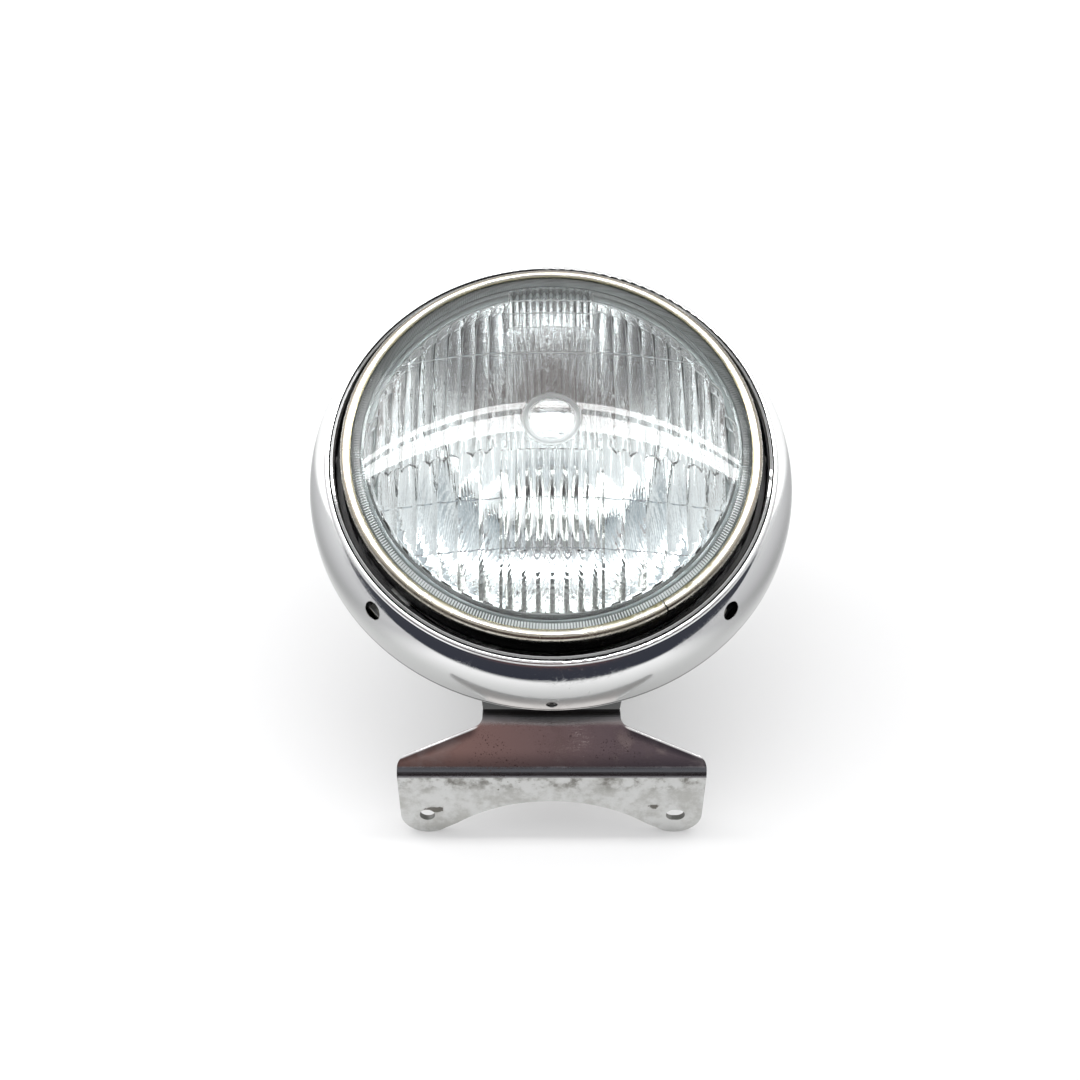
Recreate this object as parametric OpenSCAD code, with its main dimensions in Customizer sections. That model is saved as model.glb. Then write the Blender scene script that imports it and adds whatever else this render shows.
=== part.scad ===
// Round motorcycle headlight with a chromed rim, an aimable beam unit and a
// forked mounting bracket, stored lying on its back with the lens up.
// Every piece is drawn in lamp coordinates: +Z runs along the beam, -Y points
// to the bracket, and the origin is the centre of the retaining ring's front.
// stored() then leans the lamp so that the bracket's flange stands upright.

/* [Rim] */
// Gap between the retaining ring and the rim's lip
rim_gap = 3.55; // [3.4:0.05:4]
// How far the rim's lip lies behind the retaining ring's front
rim_lip_back = 5.9; // [5.5:0.1:6.5]
// Radius of the round bead along the lip
rim_bead_r = 1.15; // [0.9:0.05:1.2]
// Distance from the rim's lip out to its rear edge
rim_swell = 14.4; // [14:0.1:15]
// Radius of the rim's rounded section
rim_round_r = 42; // [40:1:44]
// Depth of the rim from the ring's front to its rear edge
rim_depth = 32.5; // [32.4:0.1:34]
// Thickness of the rim's sheet
rim_wall = 1.0; // [0.8:0.1:1.2]
// Diameter of the two screwdriver holes
access_hole_d = 8.4; // [7:0.1:9]
// Angle of the screwdriver holes from the bottom of the rim
access_angle = 46; // [44:1:50]
// Diameter of the lock screw's hole at the bottom
lock_hole_d = 4.7; // [4.6:0.1:5.2]

/* [Lens and beam unit] */
// Outer radius of the retaining ring, which sets the lamp's size
ring_r = 89; // [86:0.5:94]
// Width of the retaining ring's lip on the glass
ring_lip_w = 4.6; // [4:0.1:5]
// Width of the glass's shoulder between the lip and the dome
shoulder_w = 5.8; // [5:0.1:7]
// Height of the dome above its edge
dome_rise = 16.2; // [12:0.1:18]
// Height of the dome's edge above the ring's front
dome_edge_z = 3.8; // [3:0.1:4.5]
// Thickness of the glass
glass_t = 4; // [3:0.1:5]
// Radius of the bare disc at the middle of the lens
disc_r = 11.2; // [9:0.1:14]
// Distance between the ribs at the sides of the lens
side_pitch = 5.8; // [5:0.1:8]
// Distance between the ribs up the middle of the lens
middle_pitch = 2.9; // [2.5:0.1:4]
// Distance between the broad ribs below
low_pitch = 8.3; // [7:0.1:10]
// Depth of the ribs
rib_depth = 0.8; // [0.4:0.1:1]
// Thickness of the retaining ring's sheet
ring_wall = 1.0; // [0.8:0.1:1.1]
// Thickness of the rubber lens seal
seal_t = 2; // [1:0.1:2.5]
// Focal length of the reflector
focal = 27; // [25:0.5:29]
// Thickness of the reflector's sheet
reflector_t = 1.2; // [0.8:0.1:1.5]
// Radius of the bulb's seat in the reflector
bulb_seat_r = 19; // [18:0.1:20]
// Distance from the bulb's flange to the focus
bulb_reach = 29.5; // [28:0.1:31]
// Distance from the bulb's flange to its tip
bulb_len = 58; // [55:0.5:60]
// Radius of the bulb's glass
bulb_r = 8.5; // [7:0.1:9]

/* [Aiming] */
// Depth of both aim axes behind the ring's front
aim_depth = 17; // [16.8:0.1:17.2]
// Gap between the retaining ring and the gimbal ring
gimbal_gap = 1.2; // [1.1:0.05:1.4]
// Thickness of the gimbal ring
gimbal_t = 2.2; // [1.6:0.1:2.2]
// Width of the gimbal ring along the beam
gimbal_w = 7; // [6:0.1:7]
// Diameter of the pivot pins
pivot_d = 5; // [4:0.1:5]
// Distance from the gimbal ring out to both adjusting screws
adjuster_gap = 3.4; // [3.3:0.1:3.6]
// Diameter of the adjusting screws
adjuster_d = 4; // [3.5:0.1:4]
// Diameter of the adjusting screws' toothed heads
crown_d = 6.4; // [6:0.1:6.4]

/* [Case] */
// Distance from the rim's rear edge in to the case's mouth
case_step = 4.45; // [4:0.05:4.6]
// Radius of the case's rounded back
case_back_r = 88; // [84:0.5:90]
// Thickness of the case's sheet
case_wall = 1.2; // [1:0.1:1.5]
// Radius of the hole for the wiring grommet
grommet_hole_r = 10; // [8:0.5:12]
// Radius of the grommet's bore for the wires
loom_r = 6.5; // [4:0.5:7]

/* [Bracket] */
// Thickness of the bracket's sheet
sheet = 2.5; // [2:0.1:3]
// Width of the bracket's neck
neck_w = 57.5; // [54:0.5:62]
// Width of the bracket's flange
flange_w = 126.5; // [124:0.5:130]
// Distance from the case to the flange's bend
bend_reach = 28; // [26:0.5:32]
// Distance between the two mounting holes
hole_gap = 104.4; // [102:0.1:106]
// Distance from the bend to the mounting holes
hole_drop = 25.5; // [24:0.1:27]
// Diameter of the round mounting hole and width of the slot
mount_hole_d = 6.5; // [6:0.1:7]
// Length of the slotted mounting hole
slot_len = 8; // [7:0.1:10]
// Radius of the arch between the feet
arch_r = 63; // [60:0.5:66]
// Height of metal left between the bend and the arch
arch_rise = 16.6; // [14:0.1:19]
// Diameter of the bolts that hold the case to the bracket
case_bolt_d = 8; // [6:0.5:8]

/* [Hidden] */
$fn = 96;

// Clearances: fit between fixed pieces, run round turning pins, slack beside them;
// inset is the step where a lug leaves a wall, past is how far a cutter overruns
fit = 0.02;
run = 0.05;
slack = 0.1;
inset = 0.3;
past = 1;

// Angle between the flange and the lamp's axis, the steering head's rake
rake = 27.5;

// Radii from the retaining ring outwards
rim_mouth_r = ring_r + rim_gap;
rim_rear_r = rim_mouth_r + rim_swell;
case_mouth_r = rim_rear_r - case_step;
gimbal_r = ring_r + gimbal_gap;
gimbal_outer_r = gimbal_r + gimbal_t;
adjuster_r = gimbal_outer_r + adjuster_gap;

// Radii from the retaining ring inwards
ring_lip_r = ring_r - ring_lip_w;
dome_r = ring_lip_r - shoulder_w;
glass_inner_r = dome_r - 2.4;
mirror_r = dome_r - 1.6;
seal_inner_r = dome_r + 0.4;
unit_flange_r = dome_r + 1.9;

// The rim's section is an arc whose centre lies a little behind its rear edge
rim_arc_back = 2;
rim_arc_x = rim_rear_r - sqrt(rim_round_r * rim_round_r - rim_arc_back * rim_arc_back);
rim_arc_z = -rim_depth - rim_arc_back;
rim_inner_arc_r = rim_round_r - rim_wall;
bead_x = rim_mouth_r + rim_wall + 1.65;
bead_z = -rim_lip_back - rim_bead_r + 0.15;
access_z = -14;
lock_z = -27;
lock_d = 4;

// Levels of the beam unit, front to back
ring_top = 1.5;
glass_shoulder = ring_top - ring_wall - 0.05;
glass_foot = -3.5;
seal_foot = glass_foot - seal_t;
reflector_foot = seal_foot - reflector_t;
unit_flange_t = 1.5;
unit_flange_foot = reflector_foot - unit_flange_t;
skirt_foot = -12.3;
skirt_r = ring_r - ring_wall;
stack_r = skirt_r - 0.4;
unit_r = skirt_r - 0.6;
unit_wall = 1.9;
ring_screw_z = -9.9;
ring_screw_d = 3;
ring_screw_head_d = 4;
aim_z = -aim_depth;
unit_foot = aim_z - 4.5;

// The glass is part of a sphere
dome_ball_r = (dome_r * dome_r + dome_rise * dome_rise) / (2 * dome_rise);
dome_ball_z = dome_edge_z + dome_rise - dome_ball_r;
back_ball_r = dome_ball_r - glass_t;
rib_field_r = glass_inner_r - 1.2;

// The reflector is a paraboloid whose front edge meets the seal
mirror_vertex = seal_foot - mirror_r * mirror_r / (4 * focal);
focus_z = mirror_vertex + focal;
bulb_z = focus_z - bulb_reach;
socket_plate_r = 30;
socket_plate_t = 1.5;
socket_wall = 1.5;

// The bulb's metal base and the wire clip that presses on its flange
bulb_flange_r = 21.5;
bulb_flange_t = 1;
bulb_body_r = 11;
bulb_tail_z = bulb_z - 15;
clip_d = 1.4;
clip_x = 24.5;
clip_y = 13;
clip_z = bulb_z - bulb_flange_t - fit - clip_d / 2;
clip_screw_x = clip_x + clip_d / 2 + 1.8;
boot_wall = 2.2;

// Levels of the two adjusting screws, front to back
crown_top = aim_z + 1.5;
crown_h = 2.2;
nut_z = aim_z - 6.4;
nut_h = 4;
nut_lug_t = 1.6;
nut_lug_front = nut_z + nut_lug_t / 2;
nut_lug_back = nut_z - nut_lug_t / 2;
nut_body_d = 6.2;
nut_flange_d = 7.2;
nut_play = 0.6;
nut_lug_r = adjuster_r + nut_body_d / 2 + 1.2;
nut_lug_half = 3.2;
shoulder_top = aim_z - 12.1;
carrier_top = shoulder_top - 1.1;
carrier_t = 1.5;
carrier_foot = carrier_top - carrier_t;
clip_plate_t = 0.8;
clip_groove = 0.4;
screw_end = carrier_foot - 3;

// The gimbal ring hangs in the support ring, which closes the front of the case
gimbal_back = aim_z - gimbal_w / 2;
gimbal_front = aim_z + gimbal_w / 2;
support_wall_r = gimbal_outer_r + 2.1;
support_wall_t = 1.5;
support_outer_r = support_wall_r + support_wall_t;
support_front = aim_z + 5;
support_screw_angles = [-75, 75, 180];
support_screw_r = adjuster_r + 3.4;
support_screw_d = 3.5;
support_head_d = 6;
lock_tab_r = support_outer_r + 4.5;
lock_tab_t = 2;
pivot_head_d = 9;
pivot_head_t = 3;

// The bracket is one bent sheet: seat, neck bend, panel, fold and flange
fold = 90 - rake;
bend_in_r = 2;
bend_out_r = bend_in_r + sheet;
bend_steps = 8;
panel_front = -42;
panel_back = panel_front - sheet;
bend_axis_z = panel_back - bend_in_r;
fold_y = -case_mouth_r - bend_reach + bend_out_r * sin(fold / 2);
fold_half_len = bend_out_r * fold / 2 * PI / 180;
seat_y = -case_mouth_r;
neck_bend_y = seat_y - sheet - bend_in_r;
foot_r = (flange_w - hole_gap) / 2;
hole_y = -hole_drop + fold_half_len;
arch_y = -arch_rise + fold_half_len - arch_r;

// The pressed seat under the case, and the two bolts through it
seat_front = bend_axis_z - 1;
seat_len = 26;
seat_back = seat_front - seat_len;
seat_mid = seat_front - seat_len / 2;
seat_w = neck_w;
pad_front = -rim_depth - 1.5;
seat_wall = 2;
seat_depth = 34;
case_bolt_x = 14;
bolt_head_d = 13;
bolt_head_t = 5;
washer_t = 1.6;
plate_t = 3;
nut_t = 6.5;

// The case's back and the bracket's feet stand on one level, the floor
floor_level = sin(rake) * fold_y + cos(rake) * bend_axis_z + hole_y - foot_r;
case_front = carrier_foot;
case_back_z = (floor_level + case_back_r) / cos(rake);
case_lip = 4.3;
case_ear_t = 3;

// The case's side is an arc through the mouth that runs smoothly into the back
blend_angle = 45;
mouth_dz = case_front - case_lip - case_back_z;
side_dot = case_mouth_r * sin(blend_angle) - mouth_dz * cos(blend_angle);
side_sq = case_mouth_r * case_mouth_r + mouth_dz * mouth_dz;
side_r = (2 * case_back_r * side_dot - side_sq - case_back_r * case_back_r)
    / (2 * (side_dot - case_back_r));
side_x = -(side_r - case_back_r) * sin(blend_angle);
side_z = case_back_z + (side_r - case_back_r) * cos(blend_angle);
grommet_angle = 20;

// The stored part is centred over the floor
rear_y = cos(rake) * side_x - sin(rake) * side_z + side_r;
front_y = cos(rake) * fold_y - sin(rake) * bend_axis_z - bend_out_r;
centre_y = (rear_y + front_y) / 2;

module stored() {
    translate([0, -centre_y, -floor_level])
        rotate([rake, 0, 0])
            children();
}

// Turns a piece at the bottom of the lamp round its axis; positive is towards +X
module swing(angle) {
    rotate([0, 0, angle])
        children();
}

// A rod along the radius at the bottom of the lamp, from r1 out to r2
module radial_rod(d, r1, r2, z) {
    translate([0, -r1, z])
        rotate([90, 0, 0])
            cylinder(d = d, h = r2 - r1);
}

// How far a flat end of diameter d may reach inside a wall of radius r
function flat_end(r, d) = sqrt(r * r - d * d / 4);

// A ring with a rectangular section
module band(r1, r2, z1, z2) {
    rotate_extrude()
        translate([r1, z1])
            square([r2 - r1, z2 - z1]);
}

// The part of a band that lies within half an angle of the bottom
module band_piece(r1, r2, z1, z2, half_angle) {
    rotate([0, 0, -90 - half_angle])
        rotate_extrude(angle = 2 * half_angle)
            translate([r1, z1])
                square([r2 - r1, z2 - z1]);
}

function rim_point(r, a) = [rim_arc_x + r * sin(a), rim_arc_z + r * cos(a)];
function arc_r_at(r, z) = rim_arc_x + sqrt(r * r - (z - rim_arc_z) * (z - rim_arc_z));
rim_seat_r = arc_r_at(rim_inner_arc_r, carrier_top) - slack;

// Section of the rim: an arc of sheet, a rolled lip and a bead beside it
module rim_section() {
    lip_foot = -rim_lip_back - 2.6;
    arc_start = 48;
    arc_steps = 14;
    outer_end = acos(rim_arc_back / rim_round_r);
    inner_end = acos(rim_arc_back / rim_inner_arc_r);
    outer = [for (i = [0:arc_steps])
        rim_point(rim_round_r, arc_start + (outer_end - arc_start) * i / arc_steps)];
    inner = [for (i = [arc_steps:-1:0])
        rim_point(rim_inner_arc_r, arc_start + (inner_end - arc_start) * i / arc_steps)];
    polygon(concat(outer, inner, [
        [bead_x - 0.9, bead_z - rim_bead_r + 0.3],
        [rim_mouth_r + rim_wall, lip_foot],
        [rim_mouth_r, lip_foot],
        [rim_mouth_r, -rim_lip_back - 0.3],
        [rim_mouth_r + 0.45, -rim_lip_back],
        [bead_x - 1, -rim_lip_back - 0.45]]));
    translate([bead_x, bead_z])
        circle(r = rim_bead_r);
}

module access_hole(angle) {
    slope = acos((access_z - rim_arc_z) / rim_round_r);
    swing(angle)
        translate([0, -arc_r_at(rim_round_r, access_z), access_z])
            rotate([slope, 0, 0])
                cylinder(d = access_hole_d, h = 8, center = true);
}

module rim() {
    hook_half = 9;
    color([0.82, 0.83, 0.84]) stored() {
        difference() {
            rotate_extrude()
                rim_section();
            access_hole(access_angle);
            access_hole(-access_angle);
            radial_rod(lock_hole_d, rim_seat_r - 6, rim_rear_r + past, lock_z);
        }
        rotate([0, 0, 180])
            band_piece(case_mouth_r + 1, rim_rear_r - rim_wall + fit, -rim_depth,
                carrier_foot - slack, hook_half);
    }
}

// A grub screw in the support ring's tab; its end stands in the rim's hole
module rim_lock_screw() {
    recess = 1.1;
    socket_deep = 2.5;
    color([0.16, 0.16, 0.17]) stored()
        difference() {
            radial_rod(lock_d, lock_tab_r - 2, rim_rear_r - recess, lock_z);
            translate([0, -rim_rear_r + recess + socket_deep, lock_z])
                rotate([90, 0, 0])
                    cylinder(d = 2.3, h = socket_deep + past, $fn = 6);
        }
}

module support_ring() {
    lug_r = 5.5;
    window_half = 5;
    gimbal_gap_half = 11;
    tab_half_w = 5;
    color([0.11, 0.11, 0.12]) stored()
        difference() {
            union() {
                band(support_wall_r, support_outer_r, carrier_foot + inset, support_front);
                band(support_wall_r + slack, rim_seat_r, carrier_foot, carrier_top);
                swing(access_angle)
                    translate([0, -adjuster_r, carrier_foot + slack])
                        cylinder(r = lug_r, h = carrier_t - 2 * slack);
                translate([-tab_half_w, -lock_tab_r - lock_tab_t, carrier_foot])
                    cube([2 * tab_half_w, lock_tab_t, lock_z + 4.5 - carrier_foot]);
            }
            swing(access_angle) {
                band_piece(support_wall_r - past, support_outer_r + slack, carrier_top,
                    support_front + past, window_half);
                translate([0, -adjuster_r, carrier_foot - past])
                    cylinder(r = adjuster_d / 2 + run, h = carrier_t + 2 * past);
            }
            swing(-access_angle)
                band_piece(support_wall_r - past, rim_seat_r + past, carrier_foot - past,
                    support_front + past, gimbal_gap_half);
            for (side = [0, 180])
                swing(side)
                    radial_rod(pivot_d + 2 * fit, support_wall_r - past, support_outer_r + past, aim_z);
            radial_rod(lock_d + 2 * fit, lock_tab_r - past, lock_tab_r + lock_tab_t + past, lock_z);
            for (angle = support_screw_angles)
                swing(angle)
                    translate([0, -support_screw_r, carrier_foot - past])
                        cylinder(d = support_screw_d + 2 * fit, h = carrier_t + 2 * past);
        }
}

module support_screws() {
    head_t = 2.4;
    slot_w = 1.2;
    color([0.55, 0.56, 0.58]) stored()
        for (angle = support_screw_angles)
            swing(angle)
                translate([0, -support_screw_r, 0]) {
                    translate([0, 0, carrier_top])
                        difference() {
                            cylinder(d = support_head_d, h = head_t);
                            translate([-slot_w / 2, -support_head_d, head_t / 2])
                                cube([slot_w, 2 * support_head_d, head_t]);
                        }
                    translate([0, 0, carrier_foot - case_ear_t - 2])
                        cylinder(d = support_screw_d, h = case_ear_t + carrier_t + 2);
                }
}

// Shouldered screws at the top and bottom on which the gimbal ring swings
module aim_pivot_screws() {
    slot_w = 1.2;
    color([0.55, 0.56, 0.58]) stored()
        for (side = [0, 180])
            swing(side) {
                radial_rod(pivot_d, gimbal_r - 0.2, support_outer_r + past, aim_z);
                radial_rod(pivot_head_d, gimbal_outer_r + slack,
                    flat_end(support_wall_r, pivot_head_d) - fit, aim_z);
                difference() {
                    radial_rod(pivot_head_d, support_outer_r + fit, support_outer_r + pivot_head_t, aim_z);
                    translate([-slot_w / 2, -support_outer_r - pivot_head_t - past, aim_z - pivot_head_d])
                        cube([slot_w, past + slot_w, 2 * pivot_head_d]);
                }
            }
}

// Section of the case's outside, or of its inside when inset by the wall
module case_section(inset) {
    steps = 10;
    mouth_a = asin((case_front - case_lip - side_z) / side_r);
    blend_a = blend_angle - 90;
    side = [for (i = [0:steps])
        let (a = mouth_a + (blend_a - mouth_a) * i / steps)
        [side_x + (side_r - inset) * cos(a), side_z + (side_r - inset) * sin(a)]];
    back = [for (i = [1:steps])
        let (a = blend_a - blend_angle * i / steps)
        [(case_back_r - inset) * cos(a), case_back_z + (case_back_r - inset) * sin(a)]];
    front = inset > 0 ? case_front + past : case_front;
    polygon(concat([[0, front], [side[0][0], front]], side, back));
}

module at_grommet() {
    translate([0, 0, case_back_z])
        rotate([180 + grommet_angle, 0, 0])
            translate([0, 0, case_back_r - case_wall / 2])
                children();
}

module case_ear() {
    ear_half = 4;
    ear_reach = 3.4;
    difference() {
        band_piece(support_screw_r - ear_reach, case_mouth_r - case_wall / 2,
            case_front - case_ear_t, case_front, ear_half);
        translate([0, -support_screw_r, case_front - case_ear_t - past])
            cylinder(d = support_screw_d + 2 * fit, h = case_ear_t + 2 * past);
    }
}

module headlight_case() {
    color([0.8, 0.81, 0.82]) stored() {
        difference() {
            union() {
                rotate_extrude()
                    case_section(0);
                translate([-seat_w / 2, seat_y, seat_back])
                    cube([seat_w, seat_depth, pad_front - seat_back]);
            }
            rotate_extrude()
                case_section(case_wall);
            translate([-seat_w / 2 + seat_wall, seat_y + seat_wall, seat_back + seat_wall])
                cube([seat_w - 2 * seat_wall, seat_depth, pad_front - seat_back - 2 * seat_wall]);
            at_grommet()
                cylinder(r = grommet_hole_r + fit, h = 12, center = true);
            for (side = [-1, 1])
                translate([side * case_bolt_x, seat_y + seat_wall + past, seat_mid])
                    rotate([90, 0, 0])
                        cylinder(d = case_bolt_d + 2 * slack, h = seat_wall + 2 * past);
        }
        for (angle = support_screw_angles)
            swing(angle)
                case_ear();
    }
}

// A rubber grommet with a groove for the case's edge and a bore for the wires
module wiring_grommet() {
    lip_r = grommet_hole_r + 2.6;
    lip_t = 2;
    inner_back_r = case_back_r - case_wall;
    curve_drop = inner_back_r - sqrt(inner_back_r * inner_back_r - lip_r * lip_r);
    groove_foot = -case_wall / 2 - curve_drop - 2 * slack;
    groove_top = slack;
    color([0.07, 0.07, 0.07]) stored()
        at_grommet()
            difference() {
                union() {
                    translate([0, 0, groove_foot - lip_t])
                        cylinder(r = grommet_hole_r, h = groove_top - groove_foot + 2 * lip_t);
                    translate([0, 0, groove_top])
                        cylinder(r = lip_r, h = lip_t);
                    translate([0, 0, groove_foot - lip_t])
                        cylinder(r = lip_r, h = lip_t);
                }
                cylinder(r = loom_r, h = 8 * lip_t, center = true);
            }
}

// Outline of the panel: y = 0 at the fold, the neck upwards
module panel_outline() {
    top = neck_bend_y - fold_y;
    neck_top = seat_y - fold_y + 2 * past;
    corner_r = 6;
    fillet_r = 4.5;
    shoulder_drop = 2.8;
    shoulder_y = top - shoulder_drop;
    slope = atan((shoulder_y - corner_r * cos(23)) / ((flange_w - neck_w) / 2 - corner_r * (1 - sin(23))));
    fillet_y = shoulder_y - fillet_r * tan(slope) + fillet_r / cos(slope);
    difference() {
        union() {
            hull() {
                for (side = [-1, 1])
                    translate([side * (flange_w / 2 - corner_r), 0])
                        circle(r = corner_r, $fn = 48);
                translate([-neck_w / 2, 0])
                    square([neck_w, shoulder_y]);
            }
            translate([-neck_w / 2, 0])
                square([neck_w, neck_top]);
            for (side = [-1, 1])
                mirror([side > 0 ? 0 : 1, 0])
                    polygon([[neck_w / 2, shoulder_y],
                        [neck_w / 2 + fillet_r + fillet_r * sin(-slope), fillet_y - fillet_r * cos(slope)],
                        [neck_w / 2 + fillet_r, fillet_y],
                        [neck_w / 2, fillet_y]]);
        }
        for (side = [-1, 1])
            translate([side * (neck_w / 2 + fillet_r), fillet_y])
                circle(r = fillet_r);
    }
}

module slot_outline() {
    half = (slot_len - mount_hole_d) / 2;
    translate([-half, -mount_hole_d / 2])
        square([2 * half, mount_hole_d]);
    for (side = [-1, 1])
        translate([side * half, 0])
            circle(d = mount_hole_d);
}

// Outline of the flange: y = 0 at the fold, the feet downwards. Each foot is round,
// and a straight edge runs from its side up to the arch.
module flange_outline() {
    toe_reach = 12.6;
    toe_x = hole_gap / 2 - toe_reach;
    toe_y = arch_y + sqrt(arch_r * arch_r - toe_x * toe_x);
    toe = [-toe_reach, toe_y - hole_y];
    touch_r = foot_r - slack;
    toe_turn = asin(touch_r / norm(toe)) - atan2(-toe.y, toe_reach);
    toe_run = 2 * [-cos(toe_turn), sin(toe_turn)];
    arch_half = sqrt(arch_r * arch_r - (hole_y - arch_y) * (hole_y - arch_y));
    difference() {
        union() {
            translate([-flange_w / 2, hole_y])
                square([flange_w, -hole_y]);
            for (side = [0, 1])
                mirror([side, 0])
                    translate([hole_gap / 2, hole_y]) {
                        circle(r = foot_r);
                        polygon([[0, past], [arch_half - hole_gap / 2 - 3, past], toe + toe_run,
                            [-touch_r * sin(toe_turn), -touch_r * cos(toe_turn)], [0, -foot_r / 2]]);
                    }
        }
        translate([0, arch_y])
            circle(r = arch_r);
        translate([-hole_gap / 2, hole_y])
            circle(d = mount_hole_d);
        translate([hole_gap / 2, hole_y])
            slot_outline();
    }
}

function arc_points(r, y, from, to) = [for (i = [0:bend_steps])
    let (a = from + (to - from) * i / bend_steps)
    [y + r * cos(a), bend_axis_z + r * sin(a)]];

// The sheet's side view: seat, neck bend, panel, fold and flange in one strip
module sheet_profile() {
    flange_len = foot_r - hole_y;
    fold_end = 90 + fold;
    away = [-sin(fold_end) * flange_len, cos(fold_end) * flange_len];
    polygon(concat([[seat_y, seat_back]],
        arc_points(bend_out_r, neck_bend_y, 0, 90),
        arc_points(bend_out_r, fold_y, 90, fold_end),
        [[fold_y + bend_out_r * cos(fold_end), bend_axis_z + bend_out_r * sin(fold_end)] + away,
         [fold_y + bend_in_r * cos(fold_end), bend_axis_z + bend_in_r * sin(fold_end)] + away],
        arc_points(bend_in_r, fold_y, fold_end, 90),
        arc_points(bend_in_r, neck_bend_y, 90, 0),
        [[seat_y - sheet, seat_back]]));
}

module bracket() {
    color([0.62, 0.62, 0.63]) stored()
        difference() {
            translate([-flange_w / 2, 0, 0])
                rotate([90, 0, 90])
                    linear_extrude(flange_w)
                        sheet_profile();
            translate([0, fold_y, seat_back - past])
                linear_extrude(panel_front - seat_back + 2 * past)
                    difference() {
                        translate([-flange_w, 0])
                            square([2 * flange_w, seat_y - fold_y + past]);
                        panel_outline();
                    }
            translate([0, fold_y, bend_axis_z])
                rotate([fold, 0, 0])
                    translate([0, 0, bend_in_r - past])
                        linear_extrude(sheet + 2 * past)
                            difference() {
                                translate([-flange_w, hole_y - foot_r - past])
                                    square([2 * flange_w, foot_r - hole_y + past]);
                                flange_outline();
                            }
            for (side = [-1, 1])
                translate([side * case_bolt_x, seat_y + past, seat_mid])
                    rotate([90, 0, 0])
                        cylinder(d = case_bolt_d + 2 * slack, h = sheet + 2 * past);
        }
}

// Places a piece on both case bolts, with +Z pointing out of the case
module at_case_bolts(y) {
    for (side = [-1, 1])
        translate([side * case_bolt_x, y, seat_mid])
            rotate([90, 0, 0])
                children();
}

module bracket_bolts() {
    grip = plate_t + seat_wall + sheet + washer_t;
    color([0.66, 0.66, 0.64]) stored()
        at_case_bolts(seat_y - sheet - washer_t) {
            cylinder(d = bolt_head_d / cos(30), h = bolt_head_t, $fn = 6);
            translate([0, 0, -grip - nut_t - 2])
                cylinder(d = case_bolt_d, h = grip + nut_t + 2);
        }
}

module bracket_washers() {
    color([0.66, 0.66, 0.64]) stored()
        at_case_bolts(seat_y - sheet)
            difference() {
                cylinder(d = 2 * case_bolt_d, h = washer_t);
                translate([0, 0, -past])
                    cylinder(d = case_bolt_d + 2 * slack, h = washer_t + 2 * past);
            }
}

module backing_plate() {
    color([0.5, 0.5, 0.5]) stored()
        difference() {
            translate([-seat_w / 2 + seat_wall + 1, seat_y + seat_wall, seat_back + seat_wall + 1])
                cube([seat_w - 2 * seat_wall - 2, plate_t, seat_len - 2 * seat_wall - 2]);
            at_case_bolts(seat_y + seat_wall + plate_t)
                translate([0, 0, -past])
                    cylinder(d = case_bolt_d + 2 * slack, h = plate_t + 2 * past);
        }
}

module bracket_nuts() {
    color([0.66, 0.66, 0.64]) stored()
        at_case_bolts(seat_y + seat_wall + plate_t)
            translate([0, 0, -nut_t])
                difference() {
                    cylinder(d = bolt_head_d / cos(30), h = nut_t, $fn = 6);
                    translate([0, 0, -past])
                        cylinder(d = case_bolt_d + 2 * fit, h = nut_t + 2 * past);
                }
}

// A lug that reaches out under a ring's wall and holds an adjuster's nut
module nut_lug(wall_r, wall_t, wall_foot) {
    difference() {
        union() {
            band_piece(wall_r + inset, wall_r + wall_t - inset, nut_lug_back, wall_foot + past, nut_lug_half);
            band_piece(wall_r + 2 * inset, nut_lug_r, nut_lug_back, nut_lug_front,
                nut_lug_half + slack);
        }
        translate([0, -adjuster_r, nut_lug_back - past])
            cylinder(d = nut_body_d + 2 * fit, h = nut_lug_t + 2 * past);
    }
}

module gimbal_ring() {
    leg_half = 1.3;
    leg_angle = 6.3;
    plate_half = leg_angle + leg_half + inset;
    notch_half = 4.6;
    notch_deep = 2.4;
    color([0.12, 0.12, 0.13]) stored() {
        difference() {
            band(gimbal_r, gimbal_outer_r, gimbal_back, gimbal_front);
            for (quarter = [0:90:270])
                swing(quarter)
                    radial_rod(pivot_d + 2 * run, gimbal_r - past, gimbal_outer_r + past, aim_z);
            swing(-access_angle)
                band_piece(gimbal_r - past, gimbal_outer_r + past, gimbal_back - past,
                    gimbal_back + notch_deep, notch_half);
        }
        swing(access_angle)
            nut_lug(gimbal_r, gimbal_t, gimbal_back);
        swing(-access_angle) {
            for (side = [-leg_angle, leg_angle])
                swing(side)
                    band_piece(gimbal_r + inset, gimbal_outer_r - inset, carrier_top - inset,
                        gimbal_back + past, leg_half);
            difference() {
                band_piece(gimbal_r + slack, adjuster_r + adjuster_d, carrier_foot, carrier_top, plate_half);
                translate([0, -adjuster_r, carrier_foot - past])
                    cylinder(r = adjuster_d / 2 + run, h = carrier_t + 2 * past);
            }
        }
    }
}

// An adjusting screw: a toothed head, a thread, a shoulder and a clip groove
module adjuster(angle) {
    teeth = 4;
    tooth_gap = 0.9;
    color([0.6, 0.58, 0.5]) stored()
        swing(angle)
            translate([0, -adjuster_r, 0])
                difference() {
                    union() {
                        translate([0, 0, crown_top - crown_h])
                            cylinder(d = crown_d, h = crown_h);
                        translate([0, 0, carrier_top + slack])
                            cylinder(d = crown_d, h = shoulder_top - carrier_top - slack);
                        translate([0, 0, screw_end])
                            cylinder(d = adjuster_d, h = crown_top - crown_h - screw_end);
                    }
                    for (i = [0:teeth - 1])
                        translate([0, 0, crown_top])
                            rotate([0, 0, 180 / teeth * i])
                                cube([2 * crown_d, tooth_gap, crown_h], center = true);
                    band(adjuster_d / 2 - clip_groove, adjuster_d, carrier_foot - slack - clip_plate_t - fit,
                        carrier_foot - slack + fit);
                }
}

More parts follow.
